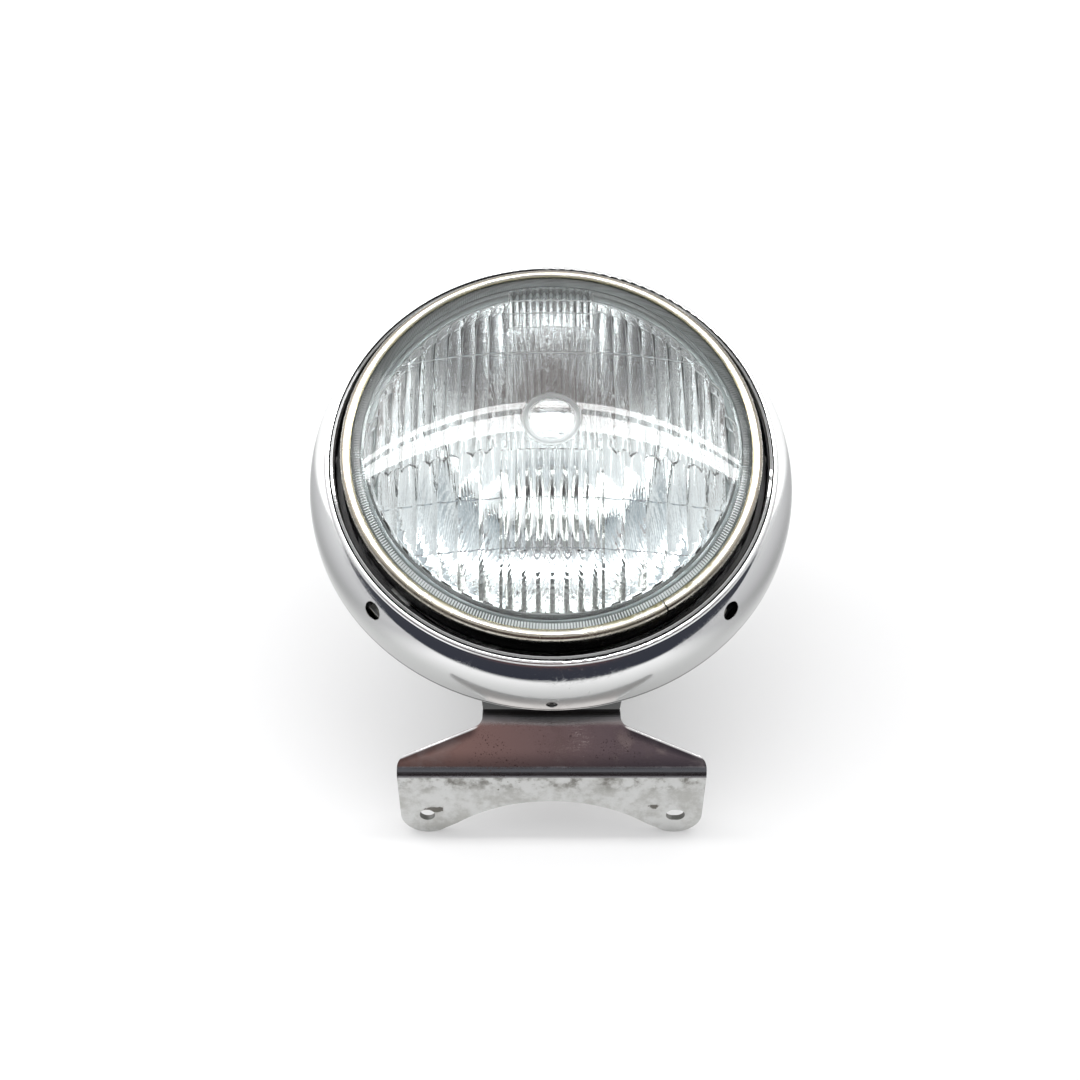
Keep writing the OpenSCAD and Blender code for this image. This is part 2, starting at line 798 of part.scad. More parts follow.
module adjuster_clip(angle) {
    gap_w = 2.4;
    clip_r = 3.4;
    color([0.35, 0.35, 0.36]) stored()
        swing(angle)
            translate([0, -adjuster_r, 0])
                difference() {
                    band(adjuster_d / 2 - clip_groove + fit, clip_r, carrier_foot - slack - clip_plate_t,
                        carrier_foot - slack);
                    translate([-gap_w / 2, 0, carrier_foot - 2])
                        cube([gap_w, 2 * clip_r, 2]);
                }
}

// A plastic nut snapped into its lug, with play for the swing of the aim
module adjuster_nut(angle) {
    color([0.85, 0.84, 0.78]) stored()
        swing(angle)
            translate([0, -adjuster_r, 0])
                difference() {
                    union() {
                        translate([0, 0, nut_z - nut_h / 2])
                            cylinder(d = nut_flange_d, h = nut_h / 2 - nut_lug_t / 2);
                        translate([0, 0, nut_z - nut_h / 2])
                            cylinder(d = nut_body_d, h = nut_h);
                        translate([0, 0, nut_lug_front])
                            cylinder(d = nut_flange_d, h = nut_h / 2 - nut_lug_t / 2);
                    }
                    translate([0, 0, nut_z - nut_h])
                        cylinder(r = adjuster_d / 2 + nut_play, h = 2 * nut_h);
                }
}

module horizontal_adjuster() {
    adjuster(access_angle);
}

module horizontal_clip() {
    adjuster_clip(access_angle);
}

module horizontal_nut() {
    adjuster_nut(access_angle);
}

module vertical_adjuster() {
    adjuster(-access_angle);
}

module vertical_clip() {
    adjuster_clip(-access_angle);
}

module vertical_nut() {
    adjuster_nut(-access_angle);
}

module unit_ring() {
    color([0.45, 0.45, 0.46]) stored() {
        difference() {
            union() {
                band(unit_flange_r, unit_r, unit_flange_foot, reflector_foot);
                band(unit_r - unit_wall, unit_r, unit_foot, reflector_foot);
            }
            for (side = [90, 270])
                swing(side)
                    radial_rod(pivot_d + 2 * fit, unit_r - unit_wall - past, unit_r + past, aim_z);
            for (angle = ring_screw_angles)
                swing(angle)
                    radial_rod(ring_screw_d + 2 * fit, unit_r - unit_wall - past, unit_r + past, ring_screw_z);
        }
        swing(-access_angle)
            nut_lug(unit_r - unit_wall, unit_wall, unit_foot);
    }
}

// Collared pins at both sides on which the beam unit tips
module unit_pivots() {
    color([0.6, 0.6, 0.58]) stored()
        for (side = [90, 270])
            swing(side) {
                radial_rod(pivot_d, unit_r - unit_wall - 1, gimbal_outer_r + 0.8, aim_z);
                radial_rod(pivot_head_d, unit_r + fit, flat_end(gimbal_r, pivot_head_d) - slack, aim_z);
            }
}

ring_screw_angles = [60, 180, 300];
ring_split_angle = 31;

// A crimped ring with a rounded front corner and a butt joint
module retaining_ring() {
    corner_r = 2;
    split_w = 0.5;
    color([0.86, 0.83, 0.74]) stored()
        difference() {
            rotate_extrude()
                union() {
                    translate([skirt_r, skirt_foot])
                        square([ring_wall, ring_top - corner_r - skirt_foot]);
                    translate([ring_lip_r, ring_top - ring_wall])
                        square([ring_r - corner_r - ring_lip_r, ring_wall]);
                    intersection() {
                        translate([ring_r - corner_r, ring_top - corner_r])
                            difference() {
                                circle(r = corner_r);
                                circle(r = corner_r - ring_wall);
                            }
                        translate([ring_r - corner_r, ring_top - corner_r])
                            square(corner_r + 1);
                    }
                }
            for (angle = ring_screw_angles)
                swing(angle)
                    radial_rod(ring_screw_head_d + 2 * slack, skirt_r - past, ring_r + past, ring_screw_z);
            swing(ring_split_angle)
                translate([-split_w / 2, -ring_r - past, skirt_foot - past])
                    cube([split_w, ring_r - ring_lip_r + 2 * past, ring_top - skirt_foot + 2 * past]);
        }
}

module ring_screws() {
    color([0.6, 0.6, 0.58]) stored()
        for (angle = ring_screw_angles)
            swing(angle) {
                radial_rod(ring_screw_head_d, unit_r + fit, ring_r - slack, ring_screw_z);
                radial_rod(ring_screw_d, unit_r - unit_wall - 0.5, unit_r + past, ring_screw_z);
            }
}

// Half section of the glass: the bare disc, the dome and a shoulder for the ring's lip
module glass_section() {
    disc_h = 0.3;
    chamfer = 1;
    height = dome_edge_z + dome_rise + past - glass_foot;
    difference() {
        union() {
            intersection() {
                translate([0, dome_ball_z])
                    circle(r = dome_ball_r, $fn = 720);
                translate([0, glass_foot])
                    square([dome_r, height]);
            }
            intersection() {
                translate([0, dome_ball_z])
                    circle(r = dome_ball_r + disc_h, $fn = 720);
                translate([0, dome_edge_z])
                    square([disc_r, dome_rise + past]);
            }
            polygon([[glass_inner_r, glass_foot], [glass_inner_r, dome_edge_z - past],
                [dome_r - past / 2, dome_edge_z], [dome_r, dome_edge_z],
                [ring_lip_r - slack, ring_top - ring_wall / 2],
                [ring_lip_r - slack, glass_shoulder], [stack_r - chamfer, glass_shoulder],
                [stack_r, glass_shoulder - chamfer], [stack_r, glass_foot]]);
        }
        intersection() {
            translate([0, dome_ball_z])
                circle(r = back_ball_r, $fn = 720);
            translate([-past, glass_foot - past])
                square([glass_inner_r + past, height]);
        }
    }
}

// One rib on the back of the glass, at an angle a across the sphere, from y1 to y2
module lens_rib(a, pitch, y1, y2) {
    land = 0.6;
    width = pitch - land;
    depth = min(rib_depth, pitch / 6);
    rib_r = (width * width / 4 + depth * depth) / (2 * depth);
    turn1 = asin(y1 / (back_ball_r * cos(a)));
    turn2 = asin(y2 / (back_ball_r * cos(a)));
    translate([0, 0, dome_ball_z])
        rotate([0, 90, 0])
            rotate([0, 0, 180 - turn2])
                rotate_extrude(angle = turn2 - turn1)
                    rotate(a)
                        translate([back_ball_r, 0])
                            intersection() {
                                translate([rib_r - depth, 0])
                                    circle(r = rib_r);
                                translate([-depth - past, slack - width / 2])
                                    square([depth + past + glass_t / 4, width - 2 * slack]);
                            }
}

// Ribs side by side between x1 and x2, each running as far as the round field lets it
module rib_block(pitch, x1, x2, y1, y2) {
    step = asin(pitch / back_ball_r);
    first = ceil(asin(x1 / back_ball_r) / step + 0.5);
    last = floor(asin(x2 / back_ball_r) / step - 0.5);
    for (i = [first:last]) {
        x = back_ball_r * sin(i * step);
        half = abs(x) + pitch / 2;
        limit = sqrt(max(rib_field_r * rib_field_r - half * half, 0));
        low = max(y1, -limit);
        high = min(y2, limit);
        if (high - low > pitch)
            lens_rib(i * step, pitch, low, high);
    }
}

module lens() {
    middle_half = 18;
    top_edge = -13;
    low_edge = -15.5;
    color([0.85, 0.9, 0.9, 0.5]) stored() {
        rotate_extrude()
            glass_section();
        for (side = [0, 1])
            mirror([side, 0, 0]) {
                rib_block(side_pitch, middle_half, rib_field_r, top_edge, rib_field_r);
                rib_block(low_pitch, middle_half, rib_field_r, -rib_field_r, low_edge);
            }
        rib_block(middle_pitch, -middle_half, middle_half, top_edge, rib_field_r);
        rib_block(side_pitch, -middle_half, middle_half, -rib_field_r, low_edge);
    }
}

module lens_seal() {
    color([0.08, 0.08, 0.08]) stored()
        band(seal_inner_r, stack_r, seal_foot, glass_foot);
}

function mirror_point(r, out) = let (slope = atan(r / (2 * focal)))
    [r + out * sin(slope), mirror_vertex + r * r / (4 * focal) - out * cos(slope)];

// The bowl, its front flange and the socket that the bulb seats in
module reflector() {
    steps = 14;
    wall_start = bulb_seat_r + socket_wall;
    inner = [for (i = [0:steps]) mirror_point(bulb_seat_r + (mirror_r - bulb_seat_r) * i / steps, 0)];
    outer = [for (i = [steps:-1:0]) mirror_point(wall_start + (mirror_r - wall_start) * i / steps, reflector_t)];
    color([0.9, 0.9, 0.92]) stored() {
        rotate_extrude()
            polygon(concat(inner,
                [[stack_r, seal_foot], [stack_r, reflector_foot], [mirror_r + 1.5, reflector_foot]],
                outer,
                [[wall_start, bulb_z + socket_plate_t], [socket_plate_r, bulb_z + socket_plate_t],
                 [socket_plate_r, bulb_z], [bulb_seat_r, bulb_z]]));
        clip_hook();
    }
}

// A hook on the socket plate that holds the far end of the wire clip
module clip_hook() {
    hook_w = 8;
    hook_t = 1.5;
    under = clip_z - clip_d / 2 - slack;
    translate([clip_x + clip_d / 2 + slack, -hook_w / 2, under - hook_t])
        cube([hook_t, hook_w, bulb_z - under + hook_t + fit]);
    translate([clip_x - clip_d / 2, -hook_w / 2, under - hook_t])
        cube([clip_d + slack + hook_t, hook_w, hook_t]);
}

module bulb_base() {
    ferrule_h = 12;
    color([0.72, 0.68, 0.5]) stored()
        rotate_extrude()
            polygon([[0, bulb_tail_z], [bulb_body_r, bulb_tail_z],
                [bulb_body_r, bulb_z - bulb_flange_t], [bulb_flange_r, bulb_z - bulb_flange_t],
                [bulb_flange_r, bulb_z - fit], [bulb_seat_r - slack, bulb_z - fit],
                [bulb_seat_r - slack, bulb_z + 4], [bulb_body_r, bulb_z + 4],
                [bulb_body_r, bulb_z + ferrule_h], [bulb_r + fit, bulb_z + ferrule_h],
                [bulb_r + fit, bulb_z + 5], [0, bulb_z + 5]]);
}

bulb_foot = bulb_z + 5 + fit;
bulb_floor = bulb_foot + 1;
bulb_tip = bulb_z + bulb_len;

// A sealed glass tube with a domed tip
module bulb_glass() {
    wall = 1;
    color([0.9, 0.93, 0.95, 0.4]) stored()
        difference() {
            union() {
                translate([0, 0, bulb_foot])
                    cylinder(r = bulb_r, h = bulb_tip - bulb_r - bulb_foot);
                translate([0, 0, bulb_tip - bulb_r])
                    sphere(r = bulb_r);
            }
            translate([0, 0, bulb_floor])
                cylinder(r = bulb_r - wall, h = bulb_tip - bulb_r - bulb_floor);
            translate([0, 0, bulb_tip - bulb_r])
                sphere(r = bulb_r - wall);
        }
}

// A half-round cup under the dipped filament, on its own stem
module bulb_shield() {
    cup_r = 4.6;
    cup_t = 0.4;
    cup_len = 9;
    cup_z = focus_z + 4;
    stem_d = 1;
    color([0.6, 0.6, 0.62]) stored() {
        rotate([0, 0, 190])
            rotate_extrude(angle = 160)
                polygon([[0, cup_z], [cup_r, cup_z], [cup_r, cup_z + cup_len],
                    [cup_r - cup_t, cup_z + cup_len], [cup_r - cup_t, cup_z + cup_t], [0, cup_z + cup_t]]);
        translate([0, -cup_r + stem_d / 2 + slack, bulb_floor + fit])
            cylinder(d = stem_d, h = cup_z + cup_t / 2 - bulb_floor - fit);
    }
}

// One filament between two lead wires that stand on the bulb's floor
module filament(x_half, y, z, len) {
    wire_d = 0.7;
    coil_d = 1.3;
    for (side = [-1, 1]) {
        translate([side * x_half, y, bulb_floor + fit])
            cylinder(d = wire_d, h = z - bulb_floor - fit);
        translate([side * x_half, y, z])
            sphere(d = wire_d);
    }
    translate([-x_half, y, z])
        rotate([0, 90, 0])
            cylinder(d = wire_d, h = 2 * x_half);
    translate([-len / 2, y, z])
        rotate([0, 90, 0])
            cylinder(d = coil_d, h = len);
}

module bulb_filaments() {
    front_gap = 9;
    rear_coil = 5;
    front_coil = 4.5;
    color([0.5, 0.5, 0.5]) stored() {
        filament(5, 0, focus_z, rear_coil);
        filament(3.2, 0, focus_z + front_gap, front_coil);
    }
}

module bulb_terminals() {
    blade_w = 8;
    blade_t = 0.8;
    blade_len = 10;
    spread = 7.5;
    color([0.7, 0.6, 0.35]) stored() {
        for (side = [-1, 1])
            translate([side * spread - blade_t / 2, -blade_w / 2, bulb_tail_z - blade_len])
                cube([blade_t, blade_w, blade_len]);
        translate([-blade_w / 2, spread - blade_t / 2, bulb_tail_z - blade_len])
            cube([blade_w, blade_t, blade_len]);
    }
}

// A closed loop of wire that presses the bulb's flange on the socket
module bulb_clip() {
    color([0.7, 0.7, 0.7]) stored()
        translate([0, 0, clip_z]) {
            for (side = [-1, 1]) {
                translate([-clip_x, side * clip_y, 0])
                    rotate([0, 90, 0])
                        cylinder(d = clip_d, h = 2 * clip_x);
                translate([side * clip_x, -clip_y, 0])
                    rotate([-90, 0, 0])
                        cylinder(d = clip_d, h = 2 * clip_y);
                for (end = [-1, 1])
                    translate([side * clip_x, end * clip_y, 0])
                        sphere(d = clip_d);
            }
        }
}

// The screw's broad head holds the near end of the wire clip
module bulb_clip_screw() {
    head_r = 2.9;
    head_t = 1.6;
    under = clip_z - clip_d / 2 - slack;
    color([0.6, 0.6, 0.58]) stored()
        translate([-clip_screw_x, 0, 0]) {
            translate([0, 0, under - head_t])
                cylinder(r = head_r, h = head_t);
            translate([0, 0, under])
                cylinder(d = 3, h = bulb_z - fit - under);
        }
}

// A rubber boot that grips the socket plate and the bulb's base
module dust_boot() {
    front_z = bulb_z + socket_plate_t + 1.2;
    grip_r = socket_plate_r + fit;
    straight_z = bulb_z - 6.5;
    neck_z = bulb_tail_z + 5;
    tail_z = bulb_tail_z - 1;
    neck_r = bulb_body_r + fit;
    color([0.06, 0.06, 0.06]) stored()
        rotate_extrude()
            polygon([[grip_r, front_z], [grip_r, straight_z], [neck_r, neck_z], [neck_r, tail_z],
                [neck_r + boot_wall, tail_z], [neck_r + boot_wall, neck_z - boot_wall],
                [grip_r + boot_wall, straight_z - boot_wall], [grip_r + boot_wall, front_z]]);
}

headlight_case();
wiring_grommet();
rim();
rim_lock_screw();
support_ring();
support_screws();
aim_pivot_screws();
bracket();
bracket_bolts();
bracket_washers();
backing_plate();
bracket_nuts();
gimbal_ring();
horizontal_nut();
horizontal_adjuster();
horizontal_clip();
vertical_adjuster();
vertical_clip();
vertical_nut();
unit_ring();
unit_pivots();
retaining_ring();
ring_screws();
lens();
lens_seal();
reflector();
bulb_base();
bulb_glass();
bulb_shield();
bulb_filaments();
bulb_terminals();
bulb_clip();
bulb_clip_screw();
dust_boot();
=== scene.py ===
import math
import bpy
import numpy as np
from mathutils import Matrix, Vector


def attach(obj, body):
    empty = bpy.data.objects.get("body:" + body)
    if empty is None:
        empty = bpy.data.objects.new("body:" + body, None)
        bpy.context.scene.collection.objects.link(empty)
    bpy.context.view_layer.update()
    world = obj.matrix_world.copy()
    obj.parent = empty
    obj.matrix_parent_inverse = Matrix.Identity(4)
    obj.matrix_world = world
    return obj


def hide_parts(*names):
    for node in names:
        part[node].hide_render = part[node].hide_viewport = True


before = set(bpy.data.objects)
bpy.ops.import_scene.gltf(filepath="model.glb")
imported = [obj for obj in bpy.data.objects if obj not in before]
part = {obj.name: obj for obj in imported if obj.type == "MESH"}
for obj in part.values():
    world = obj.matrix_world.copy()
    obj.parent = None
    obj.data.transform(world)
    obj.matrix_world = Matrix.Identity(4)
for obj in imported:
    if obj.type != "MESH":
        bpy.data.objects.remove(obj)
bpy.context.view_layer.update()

# The camera looks down at the lamp from the bracket's side, as for a catalogue
# picture. The lamp lies on its back, so the view is steep and close, and a short
# lens makes the near bracket look broad.
camera_place = (-0.00479, -0.4229, 0.4041)
degrees_down = 37.86
lens_mm, sensor_mm = 38.93, 36
camera_data = bpy.data.cameras.new("camera")
camera_data.sensor_width = sensor_mm
camera_data.lens = lens_mm
camera_data.clip_start = 0.01
camera = bpy.data.objects.new("camera", camera_data)
camera.location = camera_place
camera.rotation_euler = (math.radians(90 - degrees_down), 0, 0)
bpy.context.scene.collection.objects.link(camera)
bpy.context.scene.camera = camera
bpy.context.scene.view_settings.view_transform = "Standard"

# The lamp lies on a plain white sheet. The sheet glows more the further it is from
# the lamp, so it stays white up to the edge of the picture and keeps the lamp's soft
# shadow.


def new_mesh(name, points, faces):
    mesh = bpy.data.meshes.new(name)
    mesh.from_pydata([tuple(p) for p in points], [], [tuple(f) for f in faces])
    mesh.update()
    thing = bpy.data.objects.new(name, mesh)
    bpy.context.scene.collection.objects.link(thing)
    return thing


def flat_sheet(name, half_width, front, back, z):
    left, right = -half_width, half_width
    corners = [(left, front, z), (right, front, z), (right, back, z), (left, back, z)]
    return new_mesh(name, corners, [(0, 1, 2, 3)])


def new_finish(name):
    finish = bpy.data.materials.new(name)
    finish.use_nodes = True
    return finish, finish.node_tree, finish.node_tree.nodes["Principled BSDF"]


def feed(tree, node, **inputs):
    for key, value in inputs.items():
        socket = node.inputs[int(key[1:])] if key[1:].isdigit() else node.inputs[key.replace("_", " ")]
        if isinstance(value, bpy.types.NodeSocket):
            tree.links.new(value, socket)
        else:
            socket.default_value = value


def add_node(tree, kind, settings=None, **inputs):
    node = tree.nodes.new(kind)
    for key, value in (settings or {}).items():
        setattr(node, key, value)
    feed(tree, node, **inputs)
    return node


def maths(tree, kind, a, b=0.0, c=0.0):
    return add_node(tree, "ShaderNodeMath", {"operation": kind}, i0=a, i1=b, i2=c).outputs[0]


def plus(tree, a, b):
    return maths(tree, "ADD", a, b)


def times(tree, a, b):
    return maths(tree, "MULTIPLY", a, b)


def vector_maths(tree, kind, *vectors):
    inputs = {f"i{place}": vector for place, vector in enumerate(vectors)}
    node = add_node(tree, "ShaderNodeVectorMath", {"operation": kind}, **inputs)
    return node.outputs["Value" if kind in ("LENGTH", "DISTANCE", "DOT_PRODUCT") else "Vector"]


def between(tree, value, low, high, out_low=0.0, out_high=1.0):
    node = add_node(tree, "ShaderNodeMapRange", {"interpolation_type": "SMOOTHSTEP"},
                    Value=value, From_Min=low, From_Max=high, To_Min=out_low, To_Max=out_high)
    return node.outputs[0]


def blend_colours(tree, share, a, b):
    a, b = [value if isinstance(value, bpy.types.NodeSocket) else (*value, 1) for value in (a, b)]
    return add_node(tree, "ShaderNodeMix", {"data_type": "RGBA"}, Factor=share, i6=a, i7=b).outputs[2]


glow_distance, glow_strength = (0.25, 1.2), (0.3, 0.65)
sheet = flat_sheet("white_sheet", half_width=9, front=-9, back=9, z=-0.0002)
finish, tree, bsdf = new_finish("white sheet")
paper_grain = add_node(tree, "ShaderNodeTexNoise", Scale=90.0, Detail=3.0).outputs["Fac"]
ray = add_node(tree, "ShaderNodeLightPath").outputs
seen = plus(tree, ray["Is Camera Ray"], ray["Is Glossy Ray"])
seen = plus(tree, seen, ray["Is Transmission Ray"])
away = vector_maths(tree, "LENGTH", add_node(tree, "ShaderNodeNewGeometry").outputs["Position"])
glow = between(tree, away, *glow_distance, *glow_strength)
feed(tree, bsdf, Base_Color=blend_colours(tree, paper_grain, (0.5, 0.5, 0.502), (0.53, 0.53, 0.532)),
     Roughness=0.9, Emission_Color=(1, 1, 1, 1), Emission_Strength=times(tree, seen, glow))
sheet.data.materials.append(finish)

# A dark cloth lies on the sheet in front of the lamp, and a thinner one beside it.
# The camera doesn't see it. It shows only as a reflection in the chrome, and it is
# reddish down its middle.


def minus(tree, a, b):
    return maths(tree, "SUBTRACT", a, b)


def larger(tree, a, b):
    return maths(tree, "MAXIMUM", a, b)


def parts_of(tree, vector):
    node = add_node(tree, "ShaderNodeSeparateXYZ", Vector=vector)
    return node.outputs["X"], node.outputs["Y"], node.outputs["Z"]


front_hem, front_ends = (-0.2, -0.178), (1.4, 2.4)
bow_start, bow_slope = 0.1, 0.15
side_hem, side_back, side_share = (0.12, 0.22), (0.2, 0.28), 0.45
reddish_start, reddish_half_width = (-0.42, -0.3), (0.08, 0.22)
cloth = flat_sheet("dark_cloth", half_width=2.6, front=-2.6, back=0.3, z=0.0004)
finish, tree, bsdf = new_finish("dark cloth")
x, y, z = parts_of(tree, add_node(tree, "ShaderNodeNewGeometry").outputs["Position"])
off_middle = maths(tree, "ABSOLUTE", x)
bowed = times(tree, larger(tree, minus(tree, off_middle, bow_start), 0.0), bow_slope)
in_front = between(tree, minus(tree, y, bowed), *front_hem, 1.0, 0.0)
in_front = times(tree, in_front, between(tree, off_middle, *front_ends, 1.0, 0.0))
beside = times(tree, between(tree, off_middle, *side_hem), between(tree, y, *side_back, side_share, 0.0))
reddish = between(tree, y, *reddish_start, 1.0, 0.0)
reddish = times(tree, reddish, between(tree, off_middle, *reddish_half_width, 1.0, 0.0))
feed(tree, bsdf, Base_Color=blend_colours(tree, reddish, (0.022, 0.024, 0.034), (0.15, 0.07, 0.06)),
     Alpha=larger(tree, in_front, beside), Roughness=0.9, Specular_IOR_Level=0.1)
cloth.data.materials.append(finish)
cloth.visible_camera = False
cloth.visible_diffuse = False
cloth.visible_shadow = False

# The studio is a pale tent, open to a dark brown room low down in front. A brown
# ceiling right above colours the flat bracket, a dimmer band lies round it at the
# front, and two bright windows stand at its sides. Seen directly, all of it is white.


def arrow(tree, **sides):
    return add_node(tree, "ShaderNodeCombineXYZ", **sides).outputs[0]


def cosines(*degrees):
    return [math.cos(math.radians(angle)) for angle in degrees]


room_top, room_front = (0.36, 0.5), (-0.6, -0.25)
ceiling_towards, ceiling_edge = (0, -0.29, 0.957), cosines(13, 8.5)
ceiling_left, ceiling_right, ceiling_change = (0.3, 0.185, 0.165), (0.125, 0.105, 0.125), (-0.16, 0.12)
band_inner, band_outer, band_back = (0.43, 0.5), (0.62, 0.7), (-0.2, -0.08)
window_edge, window_light = cosines(26, 14), 0.3
world = bpy.data.worlds.new("studio")
world.use_nodes = True
tree = world.node_tree
direction = add_node(tree, "ShaderNodeTexCoord").outputs["Generated"]
x, y, z = parts_of(tree, direction)
room = times(tree, between(tree, z, *room_top, 1.0, 0.0), between(tree, y, *room_front, 1.0, 0.0))
tent = blend_colours(tree, room, (1.0, 1.0, 1.0), (0.13, 0.1, 0.095))
ceiling = blend_colours(tree, between(tree, x, *ceiling_change), ceiling_left, ceiling_right)
overhead = between(tree, vector_maths(tree, "DOT_PRODUCT", direction, ceiling_towards), *ceiling_edge)
tent = blend_colours(tree, overhead, tent, ceiling)
off_top = vector_maths(tree, "LENGTH", arrow(tree, X=x, Y=y))
dim_band = times(tree, between(tree, off_top, *band_inner), between(tree, off_top, *band_outer, 1.0, 0.0))
dim_band = times(tree, dim_band, between(tree, y, *band_back, 1.0, 0.0))
tent = blend_colours(tree, dim_band, tent, (0.54, 0.58, 0.61))
windows = 0.0
for window_towards in ((-0.5, -0.1, 0.86), (0.5, -0.1, 0.86)):
    along = vector_maths(tree, "DOT_PRODUCT", direction, window_towards)
    windows = plus(tree, windows, between(tree, along, *window_edge, 0.0, window_light))
seen = add_node(tree, "ShaderNodeLightPath").outputs["Is Camera Ray"]
feed(tree, tree.nodes["Background"], Color=blend_colours(tree, seen, tent, (1.0, 1.0, 1.0)),
     Strength=plus(tree, windows, 1.0))
bpy.context.scene.world = world

# Two long tubes hang over the lamp and make the bright arcs in the lens. A square
# panel at the left lifts the rim's left side.
for name, place, aim, size, power in (("broad_tube", (0, 0.016, 1.15), (0, 0.016, 0), (2.6, 0.1), 9.0),
                                      ("narrow_tube", (0, 0.119, 1.15), (0, 0.119, 0), (2.6, 0.04), 3.6),
                                      ("side_panel", (-0.9, 0.3, 0.8), (0, 0, 0.08), (0.6, 0.6), 2.0)):
    lamp = bpy.data.lights.new(name, "AREA")
    lamp.shape = "RECTANGLE"
    lamp.size, lamp.size_y = size
    lamp.energy = power
    softbox = bpy.data.objects.new(name, lamp)
    softbox.location = place
    softbox.rotation_euler = (Vector(aim) - Vector(place)).to_track_quat("-Z", "Y").to_euler()
    bpy.context.scene.collection.objects.link(softbox)

# The outer rim is spun from brass sheet and chromed: a rolled lip, a bead beside it
# and a rounded side with two screwdriver holes. Years of wiping have left hairline
# scratches, and the chrome turns darker and rougher towards its back.


def new_effect(name, inputs, outputs):
    effect = bpy.data.node_groups.new(name, "ShaderNodeTree")
    for key, value in inputs.items():
        socket = effect.interface.new_socket(key, in_out="INPUT", socket_type="NodeSocketFloat")
        socket.default_value = value
    for key in outputs:
        effect.interface.new_socket(key, in_out="OUTPUT", socket_type="NodeSocketFloat")
    return effect, effect.nodes.new("NodeGroupInput").outputs, effect.nodes.new("NodeGroupOutput")


def add_effect(tree, effect, **inputs):
    return add_node(tree, "ShaderNodeGroup", {"node_tree": effect}, **inputs).outputs


def own_place(tree):
    return add_node(tree, "ShaderNodeTexCoord").outputs["Object"]


def noise(tree, place, scale, detail, **inputs):
    return add_node(tree, "ShaderNodeTexNoise", Vector=place, Scale=scale, Detail=detail, **inputs).outputs


def away_from(tree, value, middle):
    return maths(tree, "ABSOLUTE", minus(tree, value, middle))


def tipped(tree, vector, angle):
    node = add_node(tree, "ShaderNodeVectorRotate", {"rotation_type": "X_AXIS"}, Vector=vector, Angle=angle)
    return node.outputs[0]


rake = math.radians(27.5)
centre_y, floor_level = 0.00904485, -0.134522
aside_limit, rear_darkening_front = (0.03, 0.06), (-0.022, -0.009)
axis, given, made = new_effect("round the beam", {}, ["Radius", "Turn", "Height"])
moved = vector_maths(axis, "ADD", own_place(axis), (0, centre_y, floor_level))
x, y, z = parts_of(axis, tipped(axis, moved, -rake))
feed(axis, made, Radius=vector_maths(axis, "LENGTH", arrow(axis, X=x, Y=y)),
     Turn=maths(axis, "ARCTAN2", y, x), Height=z)

line_width = 0.012
scratches, given, made = new_effect("hairline scratches", {"Spread": 160.0}, ["Lines"])
surface = own_place(scratches)
lines = 0.0
for turn, stretch in ((0.4, 14.0), (-0.9, 10.0), (1.7, 18.0)):
    turned = add_node(scratches, "ShaderNodeMapping", Vector=surface, Rotation=(turn, turn * 0.7, turn),
                      Scale=(1.0, stretch, 1.0)).outputs[0]
    streak = noise(scratches, turned, given["Spread"], 2.0)["Fac"]
    thin = away_from(scratches, streak, 0.5)
    lines = plus(scratches, lines, between(scratches, thin, 0.0, line_width, 1.0, 0.0))
patchy = between(scratches, noise(scratches, surface, 35.0, 2.0)["Fac"], 0.45, 0.65)
feed(scratches, made, Lines=times(scratches, lines, patchy))

film, given, made = new_effect("dull film", {"Scale": 20.0, "Start": 0.5}, ["Film"])
cloud = noise(film, own_place(film), given["Scale"], 8.0, Roughness=0.65)["Fac"]
feed(film, made, Film=between(film, cloud, given["Start"], plus(film, given["Start"], 0.18)))


def bump_from(tree, height, strength, distance, **inputs):
    return add_node(tree, "ShaderNodeBump", Height=height, Strength=strength, Distance=distance,
                    **inputs).outputs[0]


def blend_vectors(tree, share, a, b):
    return add_node(tree, "ShaderNodeMix", {"data_type": "VECTOR"}, Factor=share, i4=a, i5=b).outputs[1]


def spun_normal(tree, around, arcs):
    radius, turn, height = around
    cosine, sine = maths(tree, "COSINE", turn), maths(tree, "SINE", turn)
    plain = add_node(tree, "ShaderNodeNewGeometry").outputs["Normal"]
    x, y, z = parts_of(tree, tipped(tree, plain, -rake))
    outward = plus(tree, times(tree, x, cosine), times(tree, y, sine))
    aside = minus(tree, times(tree, y, cosine), times(tree, x, sine))
    level = arrow(tree, X=times(tree, cosine, outward), Y=times(tree, sine, outward), Z=z)
    is_turned = between(tree, maths(tree, "ABSOLUTE", aside), *aside_limit, 1.0, 0.0)
    normal = blend_vectors(tree, is_turned, plain, tipped(tree, level, rake))
    for middle_r, middle_z, arc_r, slack, foot, top in arcs:
        out = minus(tree, radius, middle_r)
        ray = arrow(tree, X=times(tree, cosine, out), Y=times(tree, sine, out),
                    Z=minus(tree, height, middle_z))
        off_arc = away_from(tree, vector_maths(tree, "LENGTH", ray), arc_r)
        on_arc = times(tree, between(tree, off_arc, slack / 2, slack, 1.0, 0.0),
                       maths(tree, "COMPARE", height, (foot + top) / 2, (top - foot) / 2))
        spun = vector_maths(tree, "NORMALIZE", tipped(tree, ray, rake))
        normal = blend_vectors(tree, on_arc, normal, spun)
    return normal


